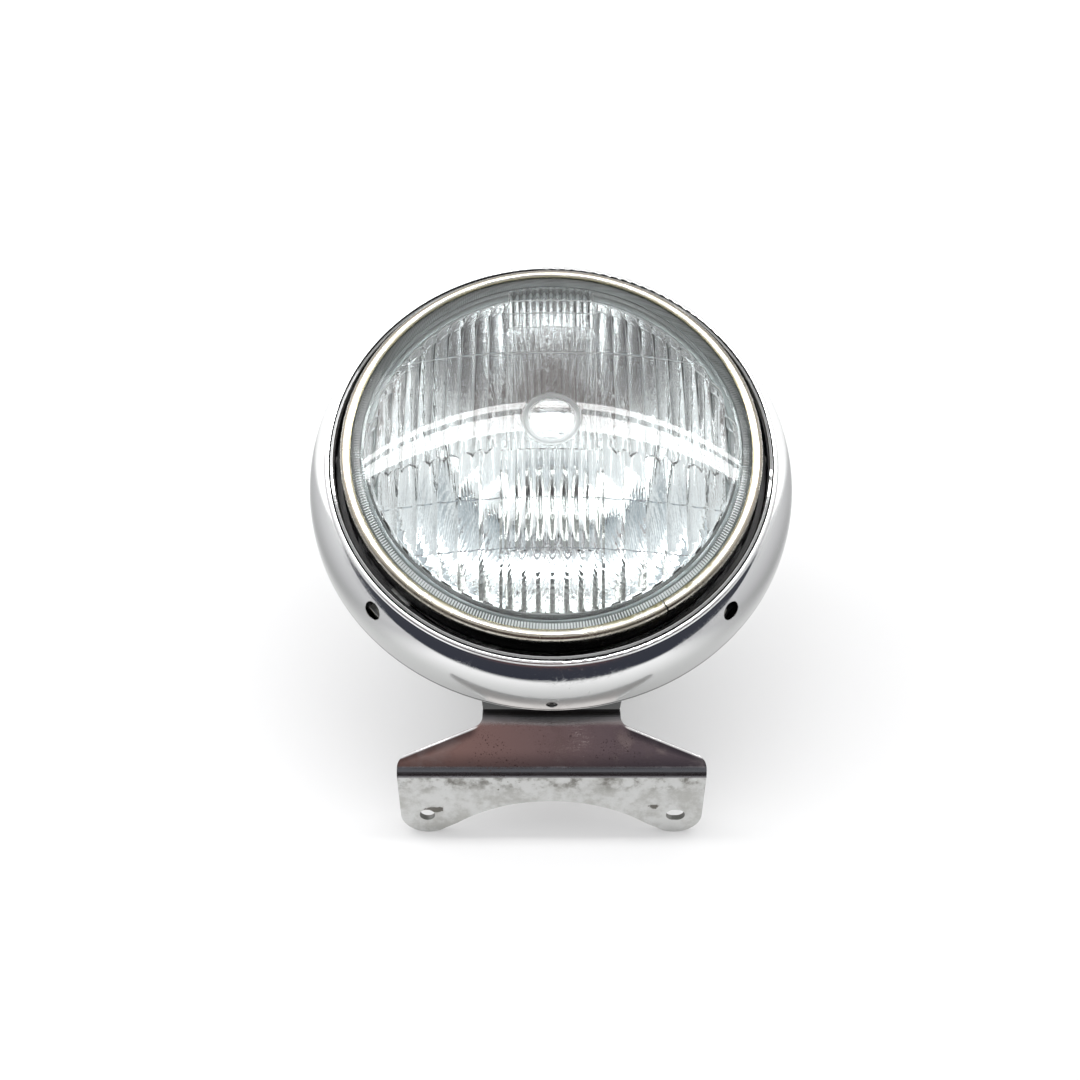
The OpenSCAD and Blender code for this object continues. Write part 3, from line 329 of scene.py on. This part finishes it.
def chrome_finish(name, clean, dull, rough, film_start, scratch_spread, rear_darkening, arcs):
    finish, tree, bsdf = new_finish(name)
    lines = add_effect(tree, scratches, Spread=scratch_spread)["Lines"]
    haze = add_effect(tree, film, Scale=26.0, Start=film_start)["Film"]
    around = add_effect(tree, axis)
    haze = larger(tree, haze, between(tree, around["Height"], *rear_darkening_front, rear_darkening, 0.0))
    worn = plus(tree, times(tree, haze, 0.12), times(tree, lines, 0.1))
    relief = bump_from(tree, lines, 0.06, 0.0001, Normal=spun_normal(tree, around, arcs))
    feed(tree, bsdf, Metallic=1.0, Base_Color=blend_colours(tree, haze, clean, dull),
         Roughness=plus(tree, worn, rough), Normal=relief)
    return finish


def paint_over(finish, share, colour):
    base = finish.node_tree.nodes["Principled BSDF"].inputs["Base Color"]
    under = base.links[0].from_socket
    finish.node_tree.links.new(blend_colours(finish.node_tree, share, under, colour), base)


def finish_part(node, finish):
    part[node].data.materials.clear()
    part[node].data.materials.append(finish)


arc_slack = 0.0003
side_r, side_z, side_arc_r = 0.064998, -0.0345, 0.042
bead_r, bead_z, bead_arc_r = 0.0952, -0.0069, 0.00115
rim_depth = 0.05
hem_depth, hem_line = 0.0315, (0.0003, 0.0006)
inner_face, inner_top = (0.0412, 0.0415), (-0.014, -0.012)
groove_r, groove_line, groove_foot = 0.09365, (0.0004, 0.0008), (-0.0085, -0.0075)
valley_r, valley_line, valley_foot = 0.09436, (0.0002, 0.00034), (-0.0078, -0.0068)
rim_chrome = chrome_finish("rim chrome", clean=(0.88, 0.885, 0.885), dull=(0.5, 0.505, 0.5), rough=0.03,
                           film_start=0.6, scratch_spread=170.0, rear_darkening=0.9,
                           arcs=((side_r, side_z, side_arc_r, arc_slack, -rim_depth, 0.0),
                                 (bead_r, bead_z, bead_arc_r, arc_slack, -rim_depth, 0.0)))
tree = rim_chrome.node_tree
radius, turn, height = add_effect(tree, axis)
# Painted shade: the hem, the rim's inner face behind the screwdriver holes, the groove and the valley
# beside the bead are coloured near black.
hem = between(tree, maths(tree, "ABSOLUTE", plus(tree, height, hem_depth)), *hem_line, 1.0, 0.0)
offset = arrow(tree, X=minus(tree, radius, side_r), Y=plus(tree, height, -side_z))
inside = times(tree, between(tree, vector_maths(tree, "LENGTH", offset), *inner_face, 1.0, 0.0),
               between(tree, height, *inner_top, 1.0, 0.0))
groove = times(tree, between(tree, away_from(tree, radius, groove_r), *groove_line, 0.7, 0.0),
               between(tree, height, *groove_foot))
valley = times(tree, between(tree, away_from(tree, radius, valley_r), *valley_line, 0.96, 0.0),
               between(tree, height, *valley_foot))
shaded = larger(tree, larger(tree, larger(tree, hem, inside), groove), valley)
paint_over(rim_chrome, shaded, (0.03, 0.03, 0.03))
finish_part("rim", rim_chrome)

# The case is drawn from sheet steel and chromed like the rim, but nobody polishes
# its back, so the film on it is thicker. The flat seat for the bracket carries painted shade.
bowl_r, bowl_z, bowl_arc_r = -0.039491, -0.012957, 0.143848
cap_z, cap_arc_r, cap_top, case_depth = -0.052448, 0.088, -0.1147, 0.2
seat_edge = (-0.102, -0.1016)
case_chrome = chrome_finish("case chrome", clean=(0.84, 0.85, 0.86), dull=(0.62, 0.62, 0.61), rough=0.06,
                            film_start=0.46, scratch_spread=120.0, rear_darkening=0.4,
                            arcs=((bowl_r, bowl_z, bowl_arc_r, arc_slack, cap_top, 0.0),
                                  (0.0, cap_z, cap_arc_r, arc_slack, -case_depth, cap_top)))
tree = case_chrome.node_tree
radius, turn, height = add_effect(tree, axis)
downward = times(tree, radius, maths(tree, "SINE", turn))
# Painted shade: the seat's flat face is coloured near black.
paint_over(case_chrome, between(tree, downward, *seat_edge, 1.0, 0.0), (0.06, 0.058, 0.058))
finish_part("headlight_case", case_chrome)

# The bracket is one strip of 2.5 mm sheet, bent three times and chromed. Its panel
# is still bright with brown rust pits, while the flange that was clamped to the
# fork is scuffed to dull grey, with chips beside the holes.
pits, given, made = new_effect("rust pits", {"Scale": 260.0, "Reach": 0.5}, ["Pits"])
surface = own_place(pits)
wobble = noise(pits, surface, 400.0, 4.0)["Color"]
shifted = vector_maths(pits, "MULTIPLY_ADD", wobble, (0.003, 0.003, 0.003), surface)
spots = add_node(pits, "ShaderNodeTexVoronoi", Vector=shifted, Scale=given["Scale"]).outputs["Distance"]
dots = between(pits, spots, 0.08, 0.26, 1.0, 0.0)
crowd = noise(pits, surface, 42.0, 5.0, Roughness=0.7)["Fac"]
crowded = between(pits, crowd, given["Reach"], plus(pits, given["Reach"], 0.1))
feed(pits, made, Pits=times(pits, dots, crowded))

flange_top, bend_middle, bend_top = (0.0341, 0.0348), (0.0352, 0.0362), (0.038, 0.0384)
fold_shade, neck_shade, neck_haze = (0.0378, 0.0418), (0.0458, 0.0478), (0.0456, 0.0476)
shoulder_z, shoulder_slope = 0.05208, 0.19194
edge_line, edge_shade = (-0.0006, 0.0), (-0.0026, -0.0008)
neck_side, panel_side, bare_ends = (0.029, 0.034), (0.0602, 0.0625), (0.022, 0.045)
smudge_height = (0.024, 0.033)
chips = ((-0.0438, 0.0153), (-0.0465, 0.0148), (0.0424, 0.0165), (-0.0515, 0.0148), (0.052, 0.0072))
chip_squash, chip_ragged, chip_edge = 1.8, 0.03, (0.001, 0.0018)
hole_top, hole_outside, hole_inside = (0.0165, 0.017), (0.0585, 0.059), (0.0455, 0.046)
finish, tree, bsdf = new_finish("worn bracket chrome")
surface = own_place(tree)
x, y, z = parts_of(tree, surface)
off_middle = maths(tree, "ABSOLUTE", x)
flange = between(tree, z, *flange_top, 1.0, 0.0)
lines = add_effect(tree, scratches, Spread=90.0)["Lines"]
haze = add_effect(tree, film, Scale=60.0, Start=0.47)["Film"]
rust = add_effect(tree, pits, Scale=620.0, Reach=0.47)["Pits"]
specks = add_effect(tree, pits, Scale=1300.0, Reach=0.43)["Pits"]
rust = times(tree, larger(tree, rust, specks), between(tree, off_middle, *bare_ends, 1.0, 0.25))
# Painted shade: the panel is darkened along its shoulder edges, at the top of the neck, above the fold and
# at its outer sides.
shoulder = minus(tree, shoulder_z, times(tree, off_middle, shoulder_slope))
to_shoulder = minus(tree, z, shoulder)
beyond_neck = between(tree, off_middle, *neck_side)
# A real rounded edge in the bump, and a painted highlight: a thin bright line along the shoulders.
rolled_edge_highlight = times(tree, between(tree, to_shoulder, *edge_line), beyond_neck)
shade = times(tree, between(tree, to_shoulder, *edge_shade, 0.0, 0.75), beyond_neck)
shade = larger(tree, shade, between(tree, z, *neck_shade, 0.0, 0.8))
shade = larger(tree, shade, between(tree, z, *fold_shade, 0.7, 0.0))
shade = larger(tree, shade, between(tree, off_middle, *panel_side, 0.0, 0.75))
# Painted shade: the bend is coloured dark grey and near black.
on_bend = between(tree, z, *bend_top, 1.0, 0.0)
bend_shade_colour = blend_colours(tree, between(tree, z, *bend_middle), (0.22, 0.215, 0.225), (0.11, 0.11, 0.12))
panel_colour = blend_colours(tree, haze, (0.74, 0.68, 0.66), (0.55, 0.47, 0.45))
panel_colour = blend_colours(tree, shade, panel_colour, (0.16, 0.165, 0.18))
panel_colour = blend_colours(tree, rolled_edge_highlight, panel_colour, (0.86, 0.86, 0.86))
panel_colour = blend_colours(tree, on_bend, panel_colour, bend_shade_colour)
panel_colour = blend_colours(tree, rust, panel_colour, (0.1, 0.06, 0.052))
smear = noise(tree, surface, 75.0, 9.0, Roughness=0.72)["Fac"]
scuffed = between(tree, smear, 0.42, 0.62)
flange_colour = blend_colours(tree, scuffed, (0.64, 0.645, 0.635), (0.49, 0.49, 0.47))
smudge = noise(tree, surface, 150.0, 6.0, Roughness=0.65)["Fac"]
smudge = times(tree, between(tree, smudge, 0.48, 0.66), between(tree, z, *smudge_height, 0.0, 0.7))
grime = larger(tree, add_effect(tree, pits, Scale=420.0, Reach=0.56)["Pits"], smudge)
ragged = times(tree, minus(tree, 0.5, smear), chip_ragged)
for chip_x, chip_z in chips:
    chip = arrow(tree, X=minus(tree, x, chip_x), Z=times(tree, minus(tree, z, chip_z), chip_squash))
    chip = plus(tree, vector_maths(tree, "LENGTH", chip), ragged)
    grime = larger(tree, grime, between(tree, chip, *chip_edge, 0.9, 0.0))
flange_colour = blend_colours(tree, grime, flange_colour, (0.13, 0.12, 0.1))
# Painted shade: the walls of the bolt holes are darkened.
facing = parts_of(tree, add_node(tree, "ShaderNodeNewGeometry").outputs["Normal"])
hole_wall_shade = between(tree, maths(tree, "ABSOLUTE", facing[1]), 0.3, 0.6, 1.0, 0.0)
hole_wall_shade = times(tree, hole_wall_shade, between(tree, z, *hole_top, 1.0, 0.0))
hole_wall_shade = times(tree, hole_wall_shade, between(tree, off_middle, *hole_outside, 1.0, 0.0))
hole_wall_shade = times(tree, hole_wall_shade, between(tree, off_middle, *hole_inside))
flange_colour = blend_colours(tree, hole_wall_shade, flange_colour, (0.2, 0.2, 0.19))
soiled = times(tree, flange, times(tree, grime, 0.6))
panel_rough = plus(tree, times(tree, haze, 0.1), 0.05)
panel_rough = plus(tree, panel_rough, between(tree, z, *neck_haze, 0.0, 0.3))
panel_rough = plus(tree, panel_rough, times(tree, on_bend, 0.22))
flange_rough = plus(tree, times(tree, smear, 0.3), 0.3)
rough = add_node(tree, "ShaderNodeMix", Factor=flange, i2=panel_rough, i3=flange_rough).outputs[0]
relief = minus(tree, times(tree, lines, 0.02), rolled_edge_highlight)
relief = plus(tree, relief, times(tree, grime, times(tree, flange, -0.6)))
# Painted light: the bracket glows faintly, but only where it is seen in reflections.
glow_in_reflections = add_node(tree, "ShaderNodeLightPath").outputs["Is Glossy Ray"]
feed(tree, bsdf, Base_Color=blend_colours(tree, flange, panel_colour, flange_colour),
     Metallic=minus(tree, 1.0, soiled), Roughness=rough, Normal=bump_from(tree, relief, 0.5, 0.0002),
     Emission_Color=(0.8, 0.82, 0.82, 1), Emission_Strength=times(tree, glow_in_reflections, 0.5))
finish_part("bracket", finish)

# Two bolts with washers hold the bracket to the case from below, over a plate and
# two nuts inside. They, the small screws of the lamp and the ring under the lens are
# zinc-plated steel.


def plated_finish(name, bright, dark, rough):
    finish, tree, bsdf = new_finish(name)
    lines = add_effect(tree, scratches, Spread=240.0)["Lines"]
    haze = add_effect(tree, film, Scale=110.0, Start=0.45)["Film"]
    feed(tree, bsdf, Metallic=1.0, Base_Color=blend_colours(tree, haze, bright, dark),
         Roughness=plus(tree, times(tree, haze, 0.2), rough), Normal=bump_from(tree, lines, 0.3, 0.0001))
    return finish


zinc = plated_finish("zinc plate", bright=(0.7, 0.7, 0.69), dark=(0.45, 0.45, 0.43), rough=0.28)
for node in ("bracket_bolts", "bracket_washers", "backing_plate", "bracket_nuts", "support_screws",
             "aim_pivot_screws", "unit_pivots", "ring_screws", "bulb_clip_screw", "unit_ring"):
    finish_part(node, zinc)

# The support ring and the gimbal ring are pressed steel in satin black paint, so the
# gap round the beam unit looks black. The lock screw and the clips are black oxide.


def painted_finish(name, colour, worn, rough):
    finish, tree, bsdf = new_finish(name)
    haze = add_effect(tree, film, Scale=80.0, Start=0.5)["Film"]
    peel = add_node(tree, "ShaderNodeTexNoise", Scale=900.0, Detail=2.0).outputs["Fac"]
    feed(tree, bsdf, Base_Color=blend_colours(tree, haze, colour, worn),
         Roughness=plus(tree, times(tree, haze, 0.2), rough), Normal=bump_from(tree, peel, 0.2, 0.0001))
    return finish


black_paint = painted_finish("satin black paint", colour=(0.018, 0.018, 0.02), worn=(0.05, 0.048, 0.045),
                             rough=0.4)
for node in ("support_ring", "gimbal_ring"):
    finish_part(node, black_paint)
black_oxide = painted_finish("black oxide", colour=(0.035, 0.034, 0.034), worn=(0.09, 0.07, 0.05),
                             rough=0.35)
for node in ("rim_lock_screw", "horizontal_clip", "vertical_clip"):
    finish_part(node, black_oxide)

# The two adjusters are very dark steel screws with toothed heads. A screwdriver
# turns them through the rim's holes, and they run in natural nylon nuts.
very_dark_steel = plated_finish("very dark steel", bright=(0.1, 0.095, 0.085), dark=(0.05, 0.045, 0.04), rough=0.45)
for node in ("horizontal_adjuster", "vertical_adjuster"):
    finish_part(node, very_dark_steel)
nylon = painted_finish("natural nylon", colour=(0.78, 0.76, 0.68), worn=(0.62, 0.58, 0.48), rough=0.45)
for node in ("horizontal_nut", "vertical_nut"):
    finish_part(node, nylon)

# The grommet and the bulb's boot are black rubber with a faint bloom. The lens seal
# is grey rubber with fine moulded hatching. A row of pale beads is painted on it as a
# highlight, brightest on the lower half, and shows through the lower edge of the glass.
hatch_turns, hatch_slant = 480.0, 2600.0
bead_turns, bead_row_r, bead_row_width = 420.0, 0.081, (0.0011, 0.0014)
rubber = painted_finish("black rubber", colour=(0.02, 0.02, 0.02), worn=(0.06, 0.058, 0.055), rough=0.6)
for node in ("wiring_grommet", "dust_boot"):
    finish_part(node, rubber)
seal_rubber = painted_finish("grey rubber", colour=(0.2, 0.225, 0.22), worn=(0.15, 0.17, 0.165), rough=0.6)
tree = seal_rubber.node_tree
radius, turn, height = add_effect(tree, axis)
spiral = plus(tree, times(tree, turn, hatch_turns), times(tree, radius, hatch_slant))
hatch = between(tree, maths(tree, "SINE", spiral), -0.2, 0.8, 0.0, 0.75)
paint_over(seal_rubber, hatch, (0.05, 0.06, 0.06))
# Painted highlight: the bead row is white, fading out towards the top.
bead_highlight = between(tree, maths(tree, "SINE", times(tree, turn, bead_turns)), -0.85, -0.1)
bead_highlight = times(tree, bead_highlight, between(tree, away_from(tree, radius, bead_row_r), *bead_row_width, 1.0, 0.0))
bead_highlight = times(tree, bead_highlight, between(tree, maths(tree, "SINE", turn), -0.5, 0.6, 1.0, 0.0))
paint_over(seal_rubber, bead_highlight, (1.0, 1.0, 1.0))
finish_part("lens_seal", seal_rubber)

# The retaining ring is brass strip, plated and crimped over the glass. Its plate has
# yellowed, and green-brown dirt has gathered round its butt joint at the lower right.
ring_middle_r, ring_crown = 0.0866, -135.0
outer_line_r, outer_line_width, inner_line_edge = 0.0012, (0.0004, 0.001), (-0.0019, -0.0012)
joint_place, joint_turn, joint_width = (0.046, -0.0768, 0.1013), -1.0297, (0.0034, 0.0052)
dirt_reach, dirt_inside, skirt_top = (0.006, 0.045), (-0.0014, -0.0002), (-0.0002, 0.0004)
finish, tree, bsdf = new_finish("ring plate")
radius, turn, height = add_effect(tree, axis)
lines = add_effect(tree, scratches, Spread=200.0)["Lines"]
haze = add_effect(tree, film, Scale=70.0, Start=0.46)["Film"]
across = minus(tree, radius, ring_middle_r)
# Painted reflection: a dark taupe line near the outer edge and a dark olive line at the inner edge, where
# the rounded ring reflects darker things.
outer_dark_reflection = between(tree, away_from(tree, across, outer_line_r), *outer_line_width, 0.85, 0.0)
inner_dark_reflection = between(tree, across, *inner_line_edge, 0.85, 0.0)
joint = maths(tree, "ABSOLUTE", plus(tree, turn, -joint_turn))
to_joint = vector_maths(tree, "DISTANCE", own_place(tree), joint_place)
dirt = between(tree, to_joint, *dirt_reach, 1.0, 0.0)
dirt = times(tree, dirt, add_effect(tree, film, Scale=160.0, Start=0.42)["Film"])
dirt = times(tree, dirt, between(tree, across, *dirt_inside, 1.0, 0.3))
colour = blend_colours(tree, haze, (0.71, 0.69, 0.62), (0.57, 0.54, 0.45))
colour = blend_colours(tree, outer_dark_reflection, colour, (0.34, 0.3, 0.24))
colour = blend_colours(tree, inner_dark_reflection, colour, (0.27, 0.24, 0.14))
colour = blend_colours(tree, between(tree, joint, *joint_width, 0.9, 0.0), colour, (0.07, 0.06, 0.04))
# Painted shade: the ring is near black behind its front face, towards the gap.
colour = blend_colours(tree, between(tree, height, *skirt_top, 1.0, 0.0), colour, (0.03, 0.028, 0.025))
rough = plus(tree, times(tree, haze, 0.12), 0.2)
crown = times(tree, times(tree, across, across), ring_crown)
crown = plus(tree, crown, times(tree, lines, 0.00002))
feed(tree, bsdf, Metallic=1.0, Base_Color=blend_colours(tree, dirt, colour, (0.2, 0.18, 0.09)),
     Roughness=plus(tree, rough, times(tree, dirt, 0.5)), Normal=bump_from(tree, crown, 1.0, 1.0))
finish_part("retaining_ring", finish)

# The lens is one piece of moulded glass. Its front is smooth, and its back carries
# blocks of ribs that spread the beam: narrow ribs up the middle, broader ones at the
# sides, the broadest below, with steps between the rows.


def stored(points):
    points = np.asarray(points, float)
    y = points[:, 1] * math.cos(rake) - points[:, 2] * math.sin(rake) - centre_y
    z = points[:, 1] * math.sin(rake) + points[:, 2] * math.cos(rake) - floor_level
    return np.column_stack([points[:, 0], y, z])


dome_r, dome_rise, dome_edge_z, glass_t = 0.0786, 0.0162, 0.0038, 0.004
ball_r = (dome_r ** 2 + dome_rise ** 2) / (2 * dome_rise)
ball_z = dome_edge_z + dome_rise - ball_r


def dome_z(r, inset):
    return ball_z + np.sqrt((ball_r - inset) ** 2 - r ** 2)


def ribs(x, pitch):
    along = np.mod(x / pitch + 0.5, 1.0)
    return 1 - (2 * along - 1) ** 2


def row_slope(y, low, high):
    return (y - low) / (high - low)


narrow_pitch, fine_pitch, low_pitch, wide_pitch, broad_pitch = 0.0029, 0.0042, 0.0052, 0.0058, 0.0083
middle_half_width, middle_foot, low_half_width, low_top = 0.0181, -0.0122, 0.0195, -0.0535
middle_rows = (middle_foot, 0.0355, 0.0503, 0.0589, 0.0673, 0.08)
low_rows = (-0.08, -0.0525, -0.0325, -0.005)
zigzag_start, zigzag_height = 0.055, 0.0016
side_edge, side_foot, side_lean, side_scallop = 0.0174, -0.0125, 0.11, 0.0022
side_step, side_low, side_high = 0.036, -0.02, 0.08
hook_r, hook_drop, hook_reach, hook_width = 0.0742, 0.005, 0.009, 0.0055
step_height, disc_r, disc_depth = 0.0004, 0.0112, 0.0002


def rib_depth(x, y):
    side = np.abs(x)
    middle = side < middle_half_width
    wide = ribs(x, wide_pitch)
    foot = side_foot - side_lean * (side - side_edge) + side_scallop * wide
    above = y > np.where(middle, middle_foot, foot)
    lift = np.where(y > side_step, row_slope(y, side_step, side_high), row_slope(y, side_low, side_step))
    upper = 0.0008 * wide + step_height * lift
    share = np.mod(side / wide_pitch + 0.5, 1.0)
    inner = side - share * wide_pitch
    hook = np.sqrt(np.clip(hook_r ** 2 - inner ** 2, 0, None)) - hook_drop
    hook = hook - hook_reach * (1 - np.sqrt(1 - share ** 2))
    upper = np.where(y > hook, 0.0001, np.where(y > hook - hook_width, 0.0003 + 0.4 * upper, upper))
    zigzag = zigzag_height * np.abs(np.mod(x / wide_pitch, 1.0) - 0.5)
    column = np.zeros_like(x)
    for start, end in zip(middle_rows[:-1], middle_rows[1:]):
        edge = y - np.where(start > zigzag_start, zigzag, 0)
        in_row = (edge >= start) & (edge < end)
        column = np.where(in_row, step_height * row_slope(edge, start, end), column)
    column = column + 0.00045 * ribs(x, narrow_pitch)
    lower = np.zeros_like(x)
    for start, end in zip(low_rows[:-1], low_rows[1:]):
        lower = np.where((y >= start) & (y < end), step_height * row_slope(y, start, end), lower)
    below_middle = np.where(y < low_top, 0.0009 * ribs(x, low_pitch), 0.0006 * ribs(x, fine_pitch))
    below = lower + np.where(side < low_half_width, below_middle, 0.0011 * ribs(x, broad_pitch))
    depth = np.where(above, np.where(middle, column, upper), below)
    return np.where(np.hypot(x, y) < disc_r, disc_depth, depth)


rib_field_r, rib_fade, step_x, step_y = 0.0774, 0.0012, 0.00034, 0.0004
crease_slope, riser_slope, crease_foot, riser_foot, top_riser_foot = 0.75, 0.45, -0.02, 0.03, 0.055
columns, rows = int(rib_field_r / step_x) + 2, int(rib_field_r / step_y) + 2
gx, gy = np.meshgrid(np.arange(-columns, columns + 1) * step_x, np.arange(-rows, rows + 1) * step_y)
far = np.hypot(gx, gy)
inside = far < rib_field_r - 0.3 * step_x
cells = inside[:-1, :-1] | inside[1:, :-1] | inside[:-1, 1:] | inside[1:, 1:]
pull = np.where(inside, 1.0, rib_field_r / np.maximum(far, 1e-9))
gx, gy = gx * pull, gy * pull
fade = np.clip((rib_field_r - np.hypot(gx, gy)) / rib_fade, 0, 1)
depth = rib_depth(gx, gy) * fade
gz = dome_z(np.hypot(gx, gy), glass_t) - depth
slope_x = np.diff(depth, axis=1, append=0) / step_x
crease = np.abs(np.diff(slope_x, axis=1, prepend=0)) > crease_slope
riser = np.abs(np.diff(depth, axis=0, append=0)) / step_y > riser_slope
ground = (crease & (np.abs(gx) > side_edge) & (gy > crease_foot)) | (riser & (gy > riser_foot))
ground |= np.roll(riser & (gy > top_riser_foot), 1, axis=0)
number = -np.ones(gx.shape, int)
used = np.zeros(gx.shape, bool)
for dy, dx in ((0, 0), (1, 0), (0, 1), (1, 1)):
    used[dy:gx.shape[0] - 1 + dy, dx:gx.shape[1] - 1 + dx] |= cells
number[used] = np.arange(used.sum())
points = np.column_stack([gx[used], gy[used], gz[used]])
ground = ground[used].astype(float)
row, col = np.nonzero(cells)
quads = np.column_stack([number[row, col], number[row + 1, col],
                         number[row + 1, col + 1], number[row, col + 1]])

quad_sides = {}
for quad in quads.tolist():
    quad_sides.update(dict.fromkeys(zip(quad, quad[1:] + quad[:1])))
border = {b: a for a, b in quad_sides if (b, a) not in quad_sides}
loop = [next(iter(border))]
while border[loop[-1]] != loop[0]:
    loop.append(border[loop[-1]])
turns = np.arctan2(points[loop, 1], points[loop, 0])
flange_profile = [(0.0779, -0.0035), (0.0876, -0.0035), (0.0876, -0.00055), (0.0866, 0.00045),
                  (0.08429, 0.00045), (0.08429, 0.0010), (0.0815, 0.00255)]
disc_foot_r, disc_raised, dome_steps = 0.0113, 0.0003, 40
dome_rows = [(r, float(dome_z(r, 0))) for r in np.linspace(dome_r, disc_foot_r, dome_steps)]
dome_rows += [(r, float(dome_z(r, 0)) + disc_raised) for r in (0.0111, 0.008, 0.005, 0.0025)]
faces = quads.tolist()
rings = [np.array(loop)]
for r, z in flange_profile + dome_rows:
    ring = np.column_stack([r * np.cos(turns), r * np.sin(turns), np.full(len(turns), z)])
    rings.append(np.arange(len(ring)) + len(points))
    points = np.vstack([points, ring])
for low_ring, high_ring in zip(rings[:-1], rings[1:]):
    for i in range(len(low_ring)):
        k = (i + 1) % len(low_ring)
        faces.append((low_ring[i], low_ring[k], high_ring[k], high_ring[i]))
faces.append(tuple(rings[-1]))
lens = new_mesh("moulded_lens", stored(points), [tuple(int(i) for i in f) for f in faces])
for polygon in lens.data.polygons:
    polygon.use_smooth = True
lens.data.set_sharp_from_angle(angle=math.radians(24))
frosted = lens.data.attributes.new("frosted", "FLOAT", "POINT")
near_disc_edge = np.abs(np.hypot(points[:, 0], points[:, 1]) - disc_r) < 0.0002
disc_line = near_disc_edge & (np.arange(len(points)) >= len(ground))
on_ribs = np.concatenate([ground, np.zeros(len(points) - len(ground))])
frosted.data.foreach_set("value", on_ribs + disc_line)

knurl_turns, knurl_edge = 420.0, (0.0788, 0.0796)
finish, tree, bsdf = new_finish("moulded glass")
radius, turn, height = add_effect(tree, axis)
edges = add_node(tree, "ShaderNodeAttribute", {"attribute_name": "frosted"}).outputs["Fac"]
film_mask = add_effect(tree, film, Scale=45.0, Start=0.55)["Film"]
knurl = maths(tree, "SINE", times(tree, turn, knurl_turns))
knurl = times(tree, knurl, between(tree, radius, *knurl_edge))
feed(tree, bsdf, IOR=1.5, Transmission_Weight=1.0,
     Base_Color=blend_colours(tree, edges, (0.945, 0.975, 0.975), (0.72, 0.76, 0.75)),
     Roughness=plus(tree, times(tree, film_mask, 0.06), times(tree, edges, 0.45)),
     Normal=bump_from(tree, knurl, 0.06, 0.0003))
lens.data.materials.append(finish)
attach(lens, "beam_unit")
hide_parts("lens")

# The reflector is pressed steel with a bright vapour coating inside. The coating has
# a few cloudy patches and a faint ripple from the pressing, and stops at the flange.
coating_edge = (0.0762, 0.077)
finish, tree, bsdf = new_finish("reflector coating")
haze = add_effect(tree, film, Scale=30.0, Start=0.5)["Film"]
ripple = add_node(tree, "ShaderNodeTexNoise", Scale=60.0, Detail=1.0).outputs["Fac"]
flange = between(tree, add_effect(tree, axis)["Radius"], *coating_edge)
coated = blend_colours(tree, haze, (0.95, 0.955, 0.96), (0.87, 0.88, 0.89))
rough = plus(tree, times(tree, haze, 0.08), times(tree, flange, 0.5))
feed(tree, bsdf, Metallic=1.0, Base_Color=blend_colours(tree, flange, coated, (0.3, 0.33, 0.33)),
     Roughness=plus(tree, rough, 0.02), Normal=bump_from(tree, ripple, 0.1, 0.0004))
finish_part("reflector", finish)

# The bulb is a quartz tube in a plated base with three blades. Inside it are two
# filaments on lead wires and a small cup under the front one.
bulb_plate = plated_finish("bulb plate", bright=(0.72, 0.72, 0.7), dark=(0.5, 0.5, 0.48), rough=0.25)
for node in ("bulb_base", "bulb_terminals"):
    finish_part(node, bulb_plate)
bare_metal = plated_finish("bare metal", bright=(0.66, 0.65, 0.63), dark=(0.4, 0.4, 0.4), rough=0.3)
for node in ("bulb_shield", "bulb_filaments", "bulb_clip"):
    finish_part(node, bare_metal)
finish, tree, bsdf = new_finish("bulb glass")
smoke = add_effect(tree, film, Scale=90.0, Start=0.6)["Film"]
feed(tree, bsdf, Base_Color=(0.98, 0.985, 0.99, 1), Transmission_Weight=1.0, IOR=1.46,
     Roughness=times(tree, smoke, 0.15))
finish_part("bulb_glass", finish)
